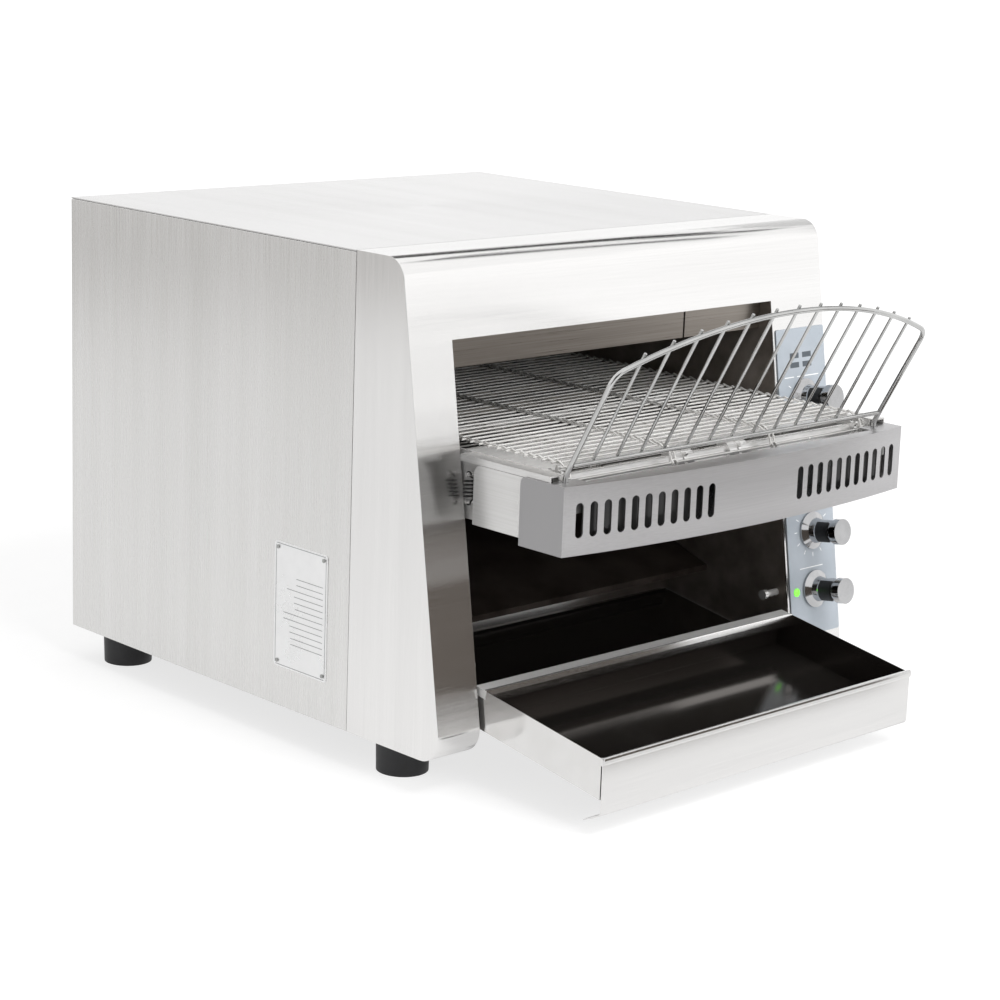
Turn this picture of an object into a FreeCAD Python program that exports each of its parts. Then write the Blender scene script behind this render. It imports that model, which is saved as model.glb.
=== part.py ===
import FreeCAD, Part
import math
import os
import re
import Sketcher

# Conveyor toaster for bread, a counter appliance. Millimetres, +Z up, front towards -Y.
# The origin is the point on the counter in the middle of the four feet.

document = FreeCAD.newDocument("ConveyorToaster")
dims = document.addObject("Spreadsheet::Sheet", "Dims")
places = document.addObject("Spreadsheet::Sheet", "Places")
sheet_of = {}
rows_used = {"Dims": 0, "Places": 0}
nodes = []

ORIGIN = FreeCAD.Vector(0, 0, 0)
X_AXIS = FreeCAD.Vector(1, 0, 0)
Y_AXIS = FreeCAD.Vector(0, 1, 0)
Z_AXIS = FreeCAD.Vector(0, 0, 1)
CYLINDER_TURN = {
    "X": FreeCAD.Rotation(Y_AXIS, 90),
    "Y": FreeCAD.Rotation(X_AXIS, -90),
    "Z": FreeCAD.Rotation(Z_AXIS, 0),
}
SKETCH_PLANE = {"X": "YZ_Plane", "Y": "XZ_Plane", "Z": "XY_Plane"}
SIDES = {"left": -1, "right": 1}
FIRST_ANGLE = 10


def write_cell(sheet, alias, text):
    rows_used[sheet.Name] += 1
    row = rows_used[sheet.Name]
    sheet.set("A%d" % row, alias)
    sheet.set("B%d" % row, text)
    sheet.setAlias("B%d" % row, alias)
    sheet_of[alias] = sheet.Name


def bound(text, home=""):
    """A formula in plain size names, with each name given its sheet."""
    def qualify(match):
        word = match.group(0)
        if word not in sheet_of or sheet_of[word] == home:
            return word
        return sheet_of[word] + "." + word
    return re.sub(r"[a-z][a-z0-9_]*", qualify, text)


def derived(**formulas):
    for alias, formula in formulas.items():
        write_cell(places, alias, "=" + bound(formula, "Places"))


def size(alias):
    return float(getattr(document.getObject(sheet_of[alias]), alias))


# Counts, which are no lengths
BELT_WHEEL_TEETH = 7
DRIVEN_CHAIN_TEETH = 20
MOTOR_CHAIN_TEETH = 10
APRON_SLOTS = 11
GUARD_BARS = 13
UPPER_TUBES = 6
LOWER_TUBES = 5
FAN_BLADES = 7
LOUVRES = 8
FAN_SLOTS = 6
SPRING_TURNS = 5

# Driving sizes of the casing
body_width = 470.0
wrap_depth = 371.8
body_height = 375.1
top_reach = 51.5
front_lean_angle = 8.64
top_corner_radius = 18.0
bottom_corner_radius = 20.0
sheet = 1.2
seat_gap = 0.3
seam_gap = 0.5
running_gap = 0.05
overrun = 5.0
find_tolerance = 0.02
foot_height = 30.0
foot_radius = 21.4
foot_draft = 0.8
foot_recess_radius = 8.0
foot_recess = 12.0
foot_side_inset = 35.0
foot_front_inset = 32.5
foot_rear_inset = 33.8
panel_flange = 14.0
cover_lip = 9.0
pan_depth = 14.0
pan_front_reach = 59.5
left_column = 42.5
right_column = 66.0
top_band = 62.6

# Driving sizes of the rear cover and what it carries
rear_cover_inset = 4.0
louvre_length = 90.0
louvre_height = 5.0
louvre_pitch = 14.0
louvre_base = 190.0
louvre_offset = 75.0
fan_size = 50.0
fan_depth = 25.0
fan_base = 32.0
fan_bore_radius = 23.0
fan_hub_radius = 9.0
fan_blade_thickness = 1.6
fan_tip_gap = 1.0
fan_side_gap = 4.0
fan_slot_length = 40.0
fan_slot_height = 4.0
fan_slot_pitch = 7.5
gland_radius = 9.0
gland_length = 12.0
gland_flange = 2.5
gland_flange_radius = 12.0
gland_bore_radius = 4.5
gland_base = 120.0

# Driving sizes of the toasting chamber and the way out below it
roof_space = 56.1
rear_space = 20.3
baffle_drop = 24.0
baffle_setback = 10.5
baffle_joint = 87.0
baffle_joint_gap = 2.0
reflector_flange = 12.0
lower_reflector_drop = 30.0
lower_reflector_front = 50.0
lower_reflector_length = 265.0
chute_lip_height = 73.0
chute_lip_reach = 6.5
chute_hem = 5.0
chute_slope_angle = 18.7
chute_bend_radius = 120.0
chute_upstand = 3.0
tube_radius = 4.0
tube_drop = 18.0
upper_tube_pitch = 52.0
upper_tube_setback = 7.0
lower_tube_pitch = 50.0
lower_tube_setback = 12.0
block_thickness = 6.0
block_height = 12.0
lower_block_thickness = 4.5
tube_seat_depth = 3.5

# Driving sizes of the conveyor
shaft_height = 222.0
front_shaft_reach = 162.0
rear_shaft_setback = 86.3
shaft_radius = 5.0
belt_pitch = 12.7
belt_side_gap = 6.3
strand_width = 2.2
strand_gap = 0.3
link_width = 3.0
link_offset = 57.0
rail_side_gap = 2.5
rail_base = 180.0
rail_height = 52.0
rail_nose = 13.5
rail_tail = 12.0
rail_cut_run = 32.0
rail_cut_rise = 25.0
rail_lip = 5.0
rail_boss_radius = 6.0
cover_setback = 12.0
spring_window = 15.0
cover_reach = 10.5
cover_corner_radius = 8.0
bush_radius = 8.0
bush_length = 4.6
bush_flange_radius = 10.5
bush_flange = 1.5
shaft_end_inset = 0.9
wheel_thickness = 3.0
wheel_tooth_height = 3.4
wheel_tooth_root = 4.0
wheel_tooth_tip = 1.6
hub_radius = 8.0
hub_length = 22.0
left_wheel_offset = 37.5
right_wheel_offset = 24.7
edge_wheel_inset = 5.0
support_rod_radius = 2.0
cross_bar_radius = 2.5
support_rod_offset = 110.0
support_end_gap = 3.0
bed_drop = 9.0
bed_length = 91.0
bed_front_gap = 1.8
spring_wire_radius = 0.6
spring_mean_radius = 3.9
spring_pitch = 2.9
spring_base = 195.0
spring_setback = 1.5
spring_stud_radius = 1.5

# Driving sizes of the front apron and of the wire guard
apron_overhang = 12.3
apron_base = 176.0
apron_height = 51.6
apron_reach = 196.0
apron_bow = 15.5
apron_flange = 16.0
apron_rim = 4.0
shield_rise = 4.0
wing_depth = 44.5
wing_corner_radius = 5.0
slot_width = 6.8
slot_height = 26.0
slot_pitch = 12.75
slot_first = 51.0
guard_side_inset = 17.05
guard_shift = 4.0
guard_lean_angle = 28.8
guard_wire_radius = 2.0
guard_rail_radius = 1.7
guard_bar_radius = 1.2
guard_setback = 12.0
guard_leg_depth = 18.0
guard_leg_rise = 4.0
guard_side_length = 92.0
guard_crown_rise = 37.5
guard_corner_radius = 14.0
guard_foot_radius = 6.0
guard_bar_pitch_share = 0.071
guard_bar_nub = 0.8
guard_rail_rise = 9.6
socket_width = 14.0
socket_height = 20.0
socket_clearance = 0.35

# Driving sizes of the toast tray, its shelf and its guide pins
tray_slope_angle = 9.0
tray_overlap = 14.0
tray_seat_height = 19.6
tray_recess = 1.0
tray_length = 141.0
tray_wall = 31.5
tray_sheet = 0.9
tray_side_gap = 2.9
tray_ledge = 12.0
tray_ledge_lip = 6.0
panel_sheet = 1.0
panel_side_gap = 2.0
panel_setoff = 3.0
panel_rise = 32.5
panel_drop = 11.5
panel_hem = 6.0
panel_lip = 18.0
panel_lip_drop = 8.0
panel_bend_radius = 5.0
panel_top_radius = 2.2
shelf_front_gap = 4.0
shelf_rear_gap = 6.0
shelf_side_flange = 12.0
shelf_flange_setback = 19.0
shelf_upstand = 16.0
pin_radius = 3.2
pin_head_radius = 4.2
pin_head = 4.0
right_pin_length = 18.0
left_pin_length = 7.5
pin_rise = 66.0
pin_reach = 86.0

# Driving sizes of the controls on the right column
panel_plate = 0.8
panel_margin = 1.5
panel_left_margin = 3.0
panel_foot = 28.0
panel_length = 263.0
panel_round = 2.0
knob_inset = 31.0
power_knob_rise = 66.0
speed_knob_rise = 116.0
heat_knob_rise = 229.0
lamp_radius = 3.5
lamp_inset = 55.0
lamp_proud = 1.4
lamp_top_share = 0.6
lamp_depth = 8.0
lamp_clearance = 0.15
knob_skirt_radius = 16.0
knob_skirt_rim = 1.2
knob_skirt_height = 9.0
knob_barrel_radius = 9.6
knob_barrel_end = 25.0
knob_cap_radius = 11.0
knob_cap_start = 26.5
knob_length = 33.0
knob_standoff = 1.0
grip_start = 11.0
grip_end = 23.5
grip_proud = 1.0
spindle_radius = 3.0
spindle_length = 11.0
spindle_clearance = 0.4
switch_size = 30.0
switch_depth = 16.0
grip_arc_angle = 110.0

# Driving sizes of the drive, the electrics and the plate on the left side
chain_pitch = 6.35
chain_height = 2.6
chain_width = 3.2
chain_gap = 0.6
chain_wheel_thickness = 2.4
chain_tooth_height = 2.2
chain_tooth_root = 3.2
chain_tooth_tip = 1.4
chain_line = 13.0
chain_hub_radius = 9.0
chain_hub_length = 7.0
motor_drop = 117.0
motor_forward = 49.5
motor_shaft_radius = 4.0
motor_shaft_reach = 8.0
motor_side_gap = 6.0
gearbox_width = 34.0
gearbox_depth = 60.0
gearbox_height = 56.0
motor_radius = 15.0
motor_length = 70.0
bracket_sheet = 2.0
bracket_margin = 9.0
bracket_foot = 28.0
board_length = 110.0
board_height = 80.0
board_thickness = 1.6
board_base = 200.0
board_setback = 165.0
board_post_radius = 3.0
board_post = 8.0
board_post_inset = 6.0
relay_size = 16.0
relay_pitch = 26.0
terminal_length = 44.0
terminal_width = 22.0
terminal_height = 18.0
terminal_setback = 41.0
terminal_slot = 4.0
terminal_pitch = 10.0
plate_width = 65.0
plate_height = 102.0
plate_setback = 25.0
plate_base = 33.0
plate_thickness = 0.5
plate_corner_radius = 3.0
rivet_radius = 1.6
rivet_height = 0.8
rivet_inset = 4.5
screw_radius = 3.4
screw_height = 1.8
screw_inset = 8.0

# Each size above is written to the sheet of sizes under its own name
for alias, value in list(globals().items()):
    if isinstance(value, float):
        write_cell(dims, alias, str(value))

# Places worked out from the driving sizes
derived(
    half_width="body_width / 2",
    foot_spacing_x="body_width - 2 * foot_side_inset",
    foot_spacing_y="wrap_depth + pan_front_reach - foot_front_inset - foot_rear_inset",
    opening_height="body_height - top_band",
    seam_y="foot_spacing_y / 2 + foot_rear_inset - wrap_depth",
    back_y="seam_y + wrap_depth",
    floor_z="foot_height",
    top_z="floor_z + body_height",
    lean_rise="tan(front_lean_angle)",
    face_top_y="seam_y - top_reach",
    face_bottom_y="face_top_y - body_height * lean_rise",
    face_skin="sheet / cos(front_lean_angle)",
    opening_left_x="left_column - half_width",
    opening_right_x="half_width - right_column",
    opening_mid_x="(opening_left_x + opening_right_x) / 2",
    opening_half="(opening_right_x - opening_left_x) / 2",
    opening_top_z="floor_z + opening_height",
    wrap_front_y="seam_y + seam_gap",
    side_top_z="top_z - sheet - seat_gap",
    pan_half="half_width - sheet - seat_gap",
    pan_seam_y="wrap_front_y + sheet + seat_gap",
    pan_rear_y="back_y - sheet - seat_gap",
    pan_front_y="seam_y - pan_front_reach",
    pan_top_z="floor_z + sheet",
    cover_y="back_y + seat_gap",
    cover_half="half_width - rear_cover_inset",
)
derived(
    wall_base_z="pan_top_z + seat_gap",
    wall_corner_z="floor_z + bottom_corner_radius + sheet",
    wall_corner_y="face_bottom_y + (wall_corner_z - floor_z) * lean_rise + face_skin + seat_gap",
    wall_foot_y="wall_corner_y + bottom_corner_radius",
    chamber_top_z="floor_z + body_height - roof_space",
    chamber_back_y="seam_y + wrap_depth - rear_space",
    wall_top_z="chamber_top_z + sheet",
    wall_top_y="face_bottom_y + (wall_top_z - floor_z) * lean_rise + face_skin + seat_gap",
    chamber_left_x="opening_left_x + seat_gap",
    chamber_right_x="opening_right_x - seat_gap",
    baffle_z="opening_top_z - baffle_drop",
    baffle_y="face_bottom_y + opening_height * lean_rise + face_skin + baffle_setback",
    baffle_joint_x="opening_mid_x + baffle_joint",
    reflector_front_y="baffle_y + sheet + seat_gap",
    chute_y="seam_y - chute_lip_reach",
    chute_z="floor_z + chute_lip_height",
    chute_bend_y="chamber_back_y - sheet",
    chute_bend_z="chute_z + (chute_bend_y - chute_y) * tan(chute_slope_angle)",
    chute_skin="sheet / cos(chute_slope_angle) - sheet * tan(chute_slope_angle)",
    chute_back_z="chute_bend_z - chute_skin",
    chute_tangent="chute_bend_radius * tan(45 - chute_slope_angle / 2)",
    chute_top_z="chute_bend_z + chute_tangent + chute_upstand",
)
derived(
    shaft_z="floor_z + shaft_height",
    front_shaft_y="seam_y - front_shaft_reach",
    rear_shaft_y="back_y - rear_shaft_setback",
    shaft_spacing="rear_shaft_y - front_shaft_y",
    belt_radius="belt_pitch * %d / (2 * pi)" % BELT_WHEEL_TEETH,
    web_inset="rail_side_gap + sheet",
    belt_inset="web_inset + belt_side_gap",
    belt_half="opening_half - belt_inset",
    rail_base_z="floor_z + rail_base",
    rail_top_z="rail_base_z + rail_height",
    rail_front_y="front_shaft_y - rail_nose",
    rail_rear_y="rear_shaft_y + rail_tail",
    shelf_rear_y="face_bottom_y + (rail_top_z - floor_z) * lean_rise - cover_setback",
    apron_end_y="seam_y - apron_reach",
    apron_base_z="floor_z + apron_base",
    apron_top_z="apron_base_z + apron_height",
    apron_half="opening_half + apron_overhang",
    apron_radius="(apron_half ^ 2 + apron_bow ^ 2) / (2 * apron_bow)",
    apron_centre_y="apron_end_y - apron_bow + apron_radius",
    wing_rear_y="apron_end_y + wing_depth",
    cover_front_y="apron_end_y + apron_flange + seat_gap",
    cover_rear_y="shelf_rear_y - spring_window",
    cover_top_z="rail_top_z - rail_lip - seat_gap",
    wheel_tip_radius="belt_radius - strand_width * 3 / 4 - seat_gap",
    wheel_root_radius="wheel_tip_radius - wheel_tooth_height",
    belt_under_z="shaft_z + belt_radius - strand_width / 2",
    rod_z="belt_under_z - seat_gap - support_rod_radius",
    cross_bar_z="rod_z - support_rod_radius - running_gap - cross_bar_radius",
    lower_tube_y="seam_y + lower_tube_setback",
    upper_tube_y="seam_y + upper_tube_setback",
    upper_tube_z="chamber_top_z - tube_drop",
    bed_top_z="belt_under_z - bed_drop",
    bed_front_y="front_shaft_y + wheel_tip_radius + bed_front_gap",
    lower_strip_y="lower_tube_y - block_height",
    lower_strip_end_y="lower_tube_y + %d * lower_tube_pitch + block_height" % (LOWER_TUBES - 1),
)
derived(
    guard_mid_x="opening_mid_x - guard_shift",
    guard_width="2 * (apron_half - guard_side_inset)",
    guard_bar_pitch="guard_width * guard_bar_pitch_share",
    guard_y="apron_end_y + guard_setback",
    guard_foot_z="apron_top_z - guard_leg_depth",
    guard_bend_z="apron_top_z + guard_leg_rise",
    guard_crown_radius="((guard_width / 2) ^ 2 + guard_crown_rise ^ 2) / (2 * guard_crown_rise)",
    guard_bar_offset="guard_wire_radius + guard_bar_radius + running_gap",
    guard_bar_start="guard_rail_rise - guard_bar_nub",
    tray_closed_y="face_bottom_y + tray_seat_height * lean_rise + tray_recess",
    tray_closed_z="floor_z + tray_seat_height",
    tray_travel="tray_length - tray_overlap",
    tray_rest_y="tray_closed_y - tray_travel * cos(tray_slope_angle)",
    tray_rest_z="tray_closed_z - tray_travel * sin(tray_slope_angle)",
    tray_half="opening_half - tray_side_gap",
    tray_front_run="tan(tray_slope_angle)",
    tray_front_skin="tray_sheet / cos(tray_slope_angle)",
    front_panel_half="opening_half - panel_side_gap",
    lip_outer_y="0 - panel_setoff",
    panel_top_z="panel_rise",
    lip_outer_z="0 - panel_drop",
    lip_inner_y="panel_sheet - panel_setoff",
    lip_inner_z="panel_sheet - panel_drop",
    shelf_start="tray_travel + shelf_front_gap",
    shelf_end="tray_travel + tray_length + shelf_rear_gap",
    pin_z="floor_z + pin_rise",
    pin_y="seam_y - pin_reach",
    knob_x="half_width - knob_inset",
    lamp_x="half_width - lamp_inset",
    knob_offset="seat_gap + panel_plate + knob_standoff",
    panel_left_x="opening_right_x + panel_left_margin",
    panel_right_x="half_width - panel_margin",
    panel_end="panel_foot + panel_length",
)
derived(
    chain_x="opening_right_x + sheet + chain_line",
    driven_pitch_radius="chain_pitch * %d / (2 * pi)" % DRIVEN_CHAIN_TEETH,
    motor_pitch_radius="chain_pitch * %d / (2 * pi)" % MOTOR_CHAIN_TEETH,
    motor_y="rear_shaft_y - motor_forward",
    motor_z="shaft_z - motor_drop",
    gearbox_x="chain_x + motor_side_gap",
    bracket_x="gearbox_x - seat_gap - bracket_sheet",
    fan_x="(opening_right_x + half_width) / 2",
    fan_z="floor_z + fan_base + fan_size / 2",
    fan_rear_y="pan_rear_y",
    gland_x="fan_x",
    gland_z="floor_z + gland_base",
    plate_x="0 - half_width - running_gap",
    plate_y="wrap_front_y + plate_setback",
    plate_z="floor_z + plate_base",
    plate_far_y="plate_y + plate_width",
    plate_top_z="plate_z + plate_height",
    board_x="opening_right_x + sheet",
    board_y="pan_rear_y - board_setback - board_length",
    board_z="floor_z + board_base",
)
document.recompute()


def rectangle(first, second):
    """Corners of a rectangle, from its two ends on each axis of the sketch."""
    return [
        (first[0], second[0]),
        (first[1], second[0]),
        (first[1], second[1]),
        (first[0], second[1]),
    ]


def origin_part(body, role):
    return [part for part in body.Origin.OriginFeatures if part.Role == role][0]


def new_body(name):
    body = document.addObject("PartDesign::Body", name)
    body.Label = name
    nodes.append(body)
    return body


def new_sketch(body, along, level):
    sketch = body.newObject("Sketcher::SketchObject", body.Name + "_sketch")
    sketch.AttachmentSupport = [(origin_part(body, SKETCH_PLANE[along]), "")]
    sketch.MapMode = "FlatFace"
    sketch.setExpression("AttachmentOffset.Base.z", bound(level))
    return sketch


def bind(sketch, kind, element, point, formula):
    """One measure of a sketch, held by a formula from its present value on."""
    if kind == "Radius":
        constraint = Sketcher.Constraint(kind, element, sketch.Geometry[element].Radius)
    else:
        corner = sketch.getPoint(element, point)
        present = corner.x if kind == "DistanceX" else corner.y
        constraint = Sketcher.Constraint(kind, -1, 1, element, point, present)
    number = sketch.addConstraint(constraint)
    sketch.setExpression("Constraints[%d]" % number, bound(formula))


def bind_point(sketch, element, point, place):
    bind(sketch, "DistanceX", element, point, place[0])
    bind(sketch, "DistanceY", element, point, place[1])


def rough_corner(index, count):
    """A start for the solver: the corners of a unit polygon, in the order of the outline."""
    turn = 2 * math.pi * index / count
    return FreeCAD.Vector(math.cos(turn), math.sin(turn), 0)


def draw_outline(sketch, corners):
    count = len(corners)
    for index in range(count):
        line = Part.LineSegment(rough_corner(index, count), rough_corner(index + 1, count))
        sketch.addGeometry(line, False)
    for index in range(count):
        following = (index + 1) % count
        sketch.addConstraint(Sketcher.Constraint("Coincident", index, 2, following, 1))
    for index, corner in enumerate(corners):
        bind_point(sketch, index, 1, corner)


def draw_circle(sketch, centre, radius):
    circle = sketch.addGeometry(Part.Circle(ORIGIN, Z_AXIS, 1.0), False)
    bind_point(sketch, circle, 3, centre)
    bind(sketch, "Radius", circle, 3, radius)


def draw_obround(sketch, centre, width, height):
    """An upright slot with round ends: two half circles and the lines between them."""
    top = sketch.addGeometry(Part.ArcOfCircle(Part.Circle(Y_AXIS, Z_AXIS, 1.0), 0, math.pi), False)
    low_circle = Part.Circle(Y_AXIS * -1, Z_AXIS, 1.0)
    low = sketch.addGeometry(Part.ArcOfCircle(low_circle, math.pi, 2 * math.pi), False)
    reach = "((%s) - (%s)) / 2" % (height, width)
    for arc, sign in ((top, "+"), (low, "-")):
        level = "(%s) %s %s" % (centre[1], sign, reach)
        bind_point(sketch, arc, 3, (centre[0], level))
        bind(sketch, "Radius", arc, 3, "(%s) / 2" % width)
        bind(sketch, "DistanceY", arc, 1, level)
        bind(sketch, "DistanceY", arc, 2, level)
    left = sketch.addGeometry(Part.LineSegment(Y_AXIS - X_AXIS, X_AXIS * -1 - Y_AXIS), False)
    right = sketch.addGeometry(Part.LineSegment(X_AXIS - Y_AXIS, X_AXIS + Y_AXIS), False)
    sketch.addConstraint(Sketcher.Constraint("Coincident", top, 2, left, 1))
    sketch.addConstraint(Sketcher.Constraint("Coincident", left, 2, low, 1))
    sketch.addConstraint(Sketcher.Constraint("Coincident", low, 2, right, 1))
    sketch.addConstraint(Sketcher.Constraint("Coincident", right, 2, top, 1))


def draw_bow(sketch, inset, rear):
    """A plan with a bowed front, straight ends and a straight rear. inset is its setback all round."""
    radius = size("apron_radius")
    middle = FreeCAD.Vector(size("opening_mid_x"), size("apron_centre_y"), 0)
    half_turn = math.asin(size("apron_half") / radius)
    down = -math.pi / 2
    circle = Part.Circle(middle, Z_AXIS, radius)
    arc = sketch.addGeometry(Part.ArcOfCircle(circle, down - half_turn, down + half_turn), False)
    ends = [circle.value(down + half_turn), circle.value(down - half_turn)]
    behind = [end + Y_AXIS * size("apron_flange") for end in ends]
    lines = [(ends[0], behind[0]), (behind[0], behind[1]), (behind[1], ends[1])]
    chain = [arc] + [sketch.addGeometry(Part.LineSegment(*line), False) for line in lines]
    for index in range(len(chain)):
        following = (index + 1) % len(chain)
        sketch.addConstraint(Sketcher.Constraint("Coincident", chain[index], 2, chain[following], 1))
    bind_point(sketch, arc, 3, ("opening_mid_x", "apron_centre_y"))
    bind(sketch, "Radius", arc, 3, "apron_radius - (%s)" % inset)
    bind(sketch, "DistanceX", arc, 1, "opening_mid_x - apron_half + (%s)" % inset)
    bind(sketch, "DistanceX", arc, 2, "opening_mid_x + apron_half - (%s)" % inset)
    bind_point(sketch, chain[1], 2, ("opening_mid_x + apron_half - (%s)" % inset, rear))
    bind_point(sketch, chain[2], 2, ("opening_mid_x - apron_half + (%s)" % inset, rear))


def raise_sketch(body, kind, along, span, draw, shape):
    """A pad or a pocket of one sketch over a span along X, Y or Z."""
    low, high = span
    level = "0 - (%s)" % high if along == "Y" else low
    sketch = new_sketch(body, along, level)
    draw(sketch, *shape)
    feature = body.newObject(kind, body.Name + "_feature")
    feature.Profile = sketch
    feature.setExpression("Length", bound("(%s) - (%s)" % (high, low)))
    feature.Reversed = kind == "PartDesign::Pocket"
    return feature


def slab(body, along, corners, low, high):
    return raise_sketch(body, "PartDesign::Pad", along, (low, high), draw_outline, (corners,))


def disc(body, along, centre, radius, low, high):
    return raise_sketch(body, "PartDesign::Pad", along, (low, high), draw_circle, (centre, radius))


def recess(body, along, corners, low, high):
    return raise_sketch(body, "PartDesign::Pocket", along, (low, high), draw_outline, (corners,))


def bore(body, along, centre, radius, low, high):
    return raise_sketch(body, "PartDesign::Pocket", along, (low, high), draw_circle, (centre, radius))


def slot(body, along, centre, width, height, low, high):
    shape = (centre, width, height)
    return raise_sketch(body, "PartDesign::Pocket", along, (low, high), draw_obround, shape)


def turned(body, corners):
    """A solid of revolution about the body's own Z axis, from corners as radius and height."""
    sketch = new_sketch(body, "Y", "0")
    draw_outline(sketch, corners)
    feature = body.newObject("PartDesign::Revolution", body.Name + "_turning")
    feature.Profile = sketch
    feature.ReferenceAxis = (sketch, ["V_Axis"])
    feature.Angle = 360
    return feature


def centred_at(**wanted):
    """A test that an edge or a face has its centre at the given formulas' values."""
    targets = {axis: size(alias) for axis, alias in wanted.items()}
    tolerance = size("find_tolerance")

    def found(shape):
        centre = shape.CenterOfMass
        return all(abs(getattr(centre, axis) - value) < tolerance for axis, value in targets.items())
    return found


def round_edges(body, radius, wanted):
    document.recompute()
    base = body.Tip
    names = ["Edge%d" % (index + 1) for index, edge in enumerate(base.Shape.Edges) if wanted(edge)]
    if not names:
        raise ValueError("no edge found to round on " + body.Name)
    fillet = body.newObject("PartDesign::Fillet", body.Name + "_round")
    fillet.Base = (base, names)
    fillet.setExpression("Radius", bound(radius))


def hollow(body, thickness, open_face):
    """Shell a body to a sheet, open at the faces that the test finds."""
    document.recompute()
    base = body.Tip
    names = ["Face%d" % (index + 1) for index, face in enumerate(base.Shape.Faces) if open_face(face)]
    shell = body.newObject("PartDesign::Thickness", body.Name + "_shell")
    shell.Base = (base, names)
    shell.setExpression("Value", bound(thickness))
    shell.Reversed = True
    shell.Join = 1


def repeat(body, features, along, pitch, count):
    pattern = body.newObject("PartDesign::LinearPattern", body.Name + "_row")
    pattern.Originals = features
    pattern.Direction = (origin_part(body, along + "_Axis"), [""])
    pattern.Occurrences = count
    pattern.setExpression("Length", bound("(%s) * %d" % (pitch, count - 1)))
    body.Tip = pattern
    return pattern


def repeat_round(body, features, along, count):
    pattern = body.newObject("PartDesign::PolarPattern", body.Name + "_ring")
    pattern.Originals = features
    pattern.Axis = (origin_part(body, along + "_Axis"), [""])
    pattern.Angle = 360
    pattern.Occurrences = count
    body.Tip = pattern
    return pattern


def stand(piece, place, axis=None, angle="0"):
    """Put a piece at a place given by formulas, turned about an axis by a formula in degrees."""
    if axis:
        piece.Placement = FreeCAD.Placement(ORIGIN, FreeCAD.Rotation(axis, FIRST_ANGLE))
        piece.setExpression("Placement.Rotation.Angle", bound(angle))
    for letter, formula in zip("xyz", place):
        piece.setExpression("Placement.Base." + letter, bound(formula))


def box(name, x_span, y_span, z_span):
    piece = document.addObject("Part::Box", name + "_piece")
    spans = {"Length": x_span, "Width": y_span, "Height": z_span}
    for length, (low, high) in spans.items():
        piece.setExpression(length, bound("(%s) - (%s)" % (high, low)))
    stand(piece, (x_span[0], y_span[0], z_span[0]))
    return piece


def rod(name, along, centre, radius, low, high):
    piece = document.addObject("Part::Cylinder", name + "_piece")
    piece.Placement = FreeCAD.Placement(ORIGIN, CYLINDER_TURN[along])
    piece.setExpression("Radius", bound(radius))
    piece.setExpression("Height", bound("(%s) - (%s)" % (high, low)))
    first, second = centre
    place = {"X": (low, first, second), "Y": (first, low, second), "Z": (first, second, low)}[along]
    for letter, formula in zip("xyz", place):
        piece.setExpression("Placement.Base." + letter, bound(formula))
    return piece


def without(base, tools):
    """A piece less one or more others."""
    tool = tools[0]
    if len(tools) > 1:
        tool = document.addObject("Part::MultiFuse", base.Name + "_tools")
        tool.Shapes = tools
    cut = document.addObject("Part::Cut", base.Name + "_cut")
    cut.Base = base
    cut.Tool = tool
    return cut


def joined(pieces):
    fused = document.addObject("Part::MultiFuse", pieces[0].Name + "_whole")
    fused.Shapes = pieces
    return fused


def group(name, pieces):
    gathered = document.addObject("Part::Compound", name)
    gathered.Label = name
    gathered.Links = pieces
    nodes.append(gathered)
    return gathered


def shaped(name, shape):
    piece = document.addObject("Part::Feature", name)
    piece.Label = name
    piece.Shape = shape
    nodes.append(piece)
    return piece


def across(side, inset):
    """X of a plane set in from one side of the opening."""
    return "opening_mid_x + (%d) * (opening_half - (%s))" % (side, inset)


def across_span(side, outer, inner):
    ends = (across(side, outer), across(side, inner))
    return ends if side < 0 else ends[::-1]


def at_side(side, outer, inner):
    """Span in X between two insets from one side of the body."""
    ends = ["(%d) * (half_width - (%s))" % (side, inset) for inset in (outer, inner)]
    return ends if side < 0 else ends[::-1]


# Front bezel: one folded shell, open at the seam, with the toasting opening cut through it
bezel = new_body("front_bezel")
slab(bezel, "X", [
    ("seam_y", "floor_z"),
    ("face_bottom_y", "floor_z"),
    ("face_top_y", "top_z"),
    ("seam_y", "top_z"),
], "0 - half_width", "half_width")
round_edges(bezel, "top_corner_radius", centred_at(y="face_top_y", z="top_z"))
round_edges(bezel, "bottom_corner_radius", centred_at(y="face_bottom_y", z="floor_z"))
hollow(bezel, "sheet", centred_at(y="seam_y"))
opening = rectangle(("opening_left_x", "opening_right_x"), ("floor_z - overrun", "opening_top_z"))
recess(bezel, "Y", opening, "face_bottom_y - overrun", "seam_y + overrun")
KNOB_RISES = {
    "power": "power_knob_rise",
    "speed": "speed_knob_rise",
    "heat": "heat_knob_rise",
}
for rise in KNOB_RISES.values():
    bore(bezel, "Y", ("knob_x", "floor_z + " + rise), "spindle_radius + spindle_clearance",
         "face_bottom_y - overrun", "seam_y")
bore(bezel, "Y", ("lamp_x", "floor_z + power_knob_rise"), "lamp_radius + spindle_clearance",
     "face_bottom_y - overrun", "seam_y")

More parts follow.
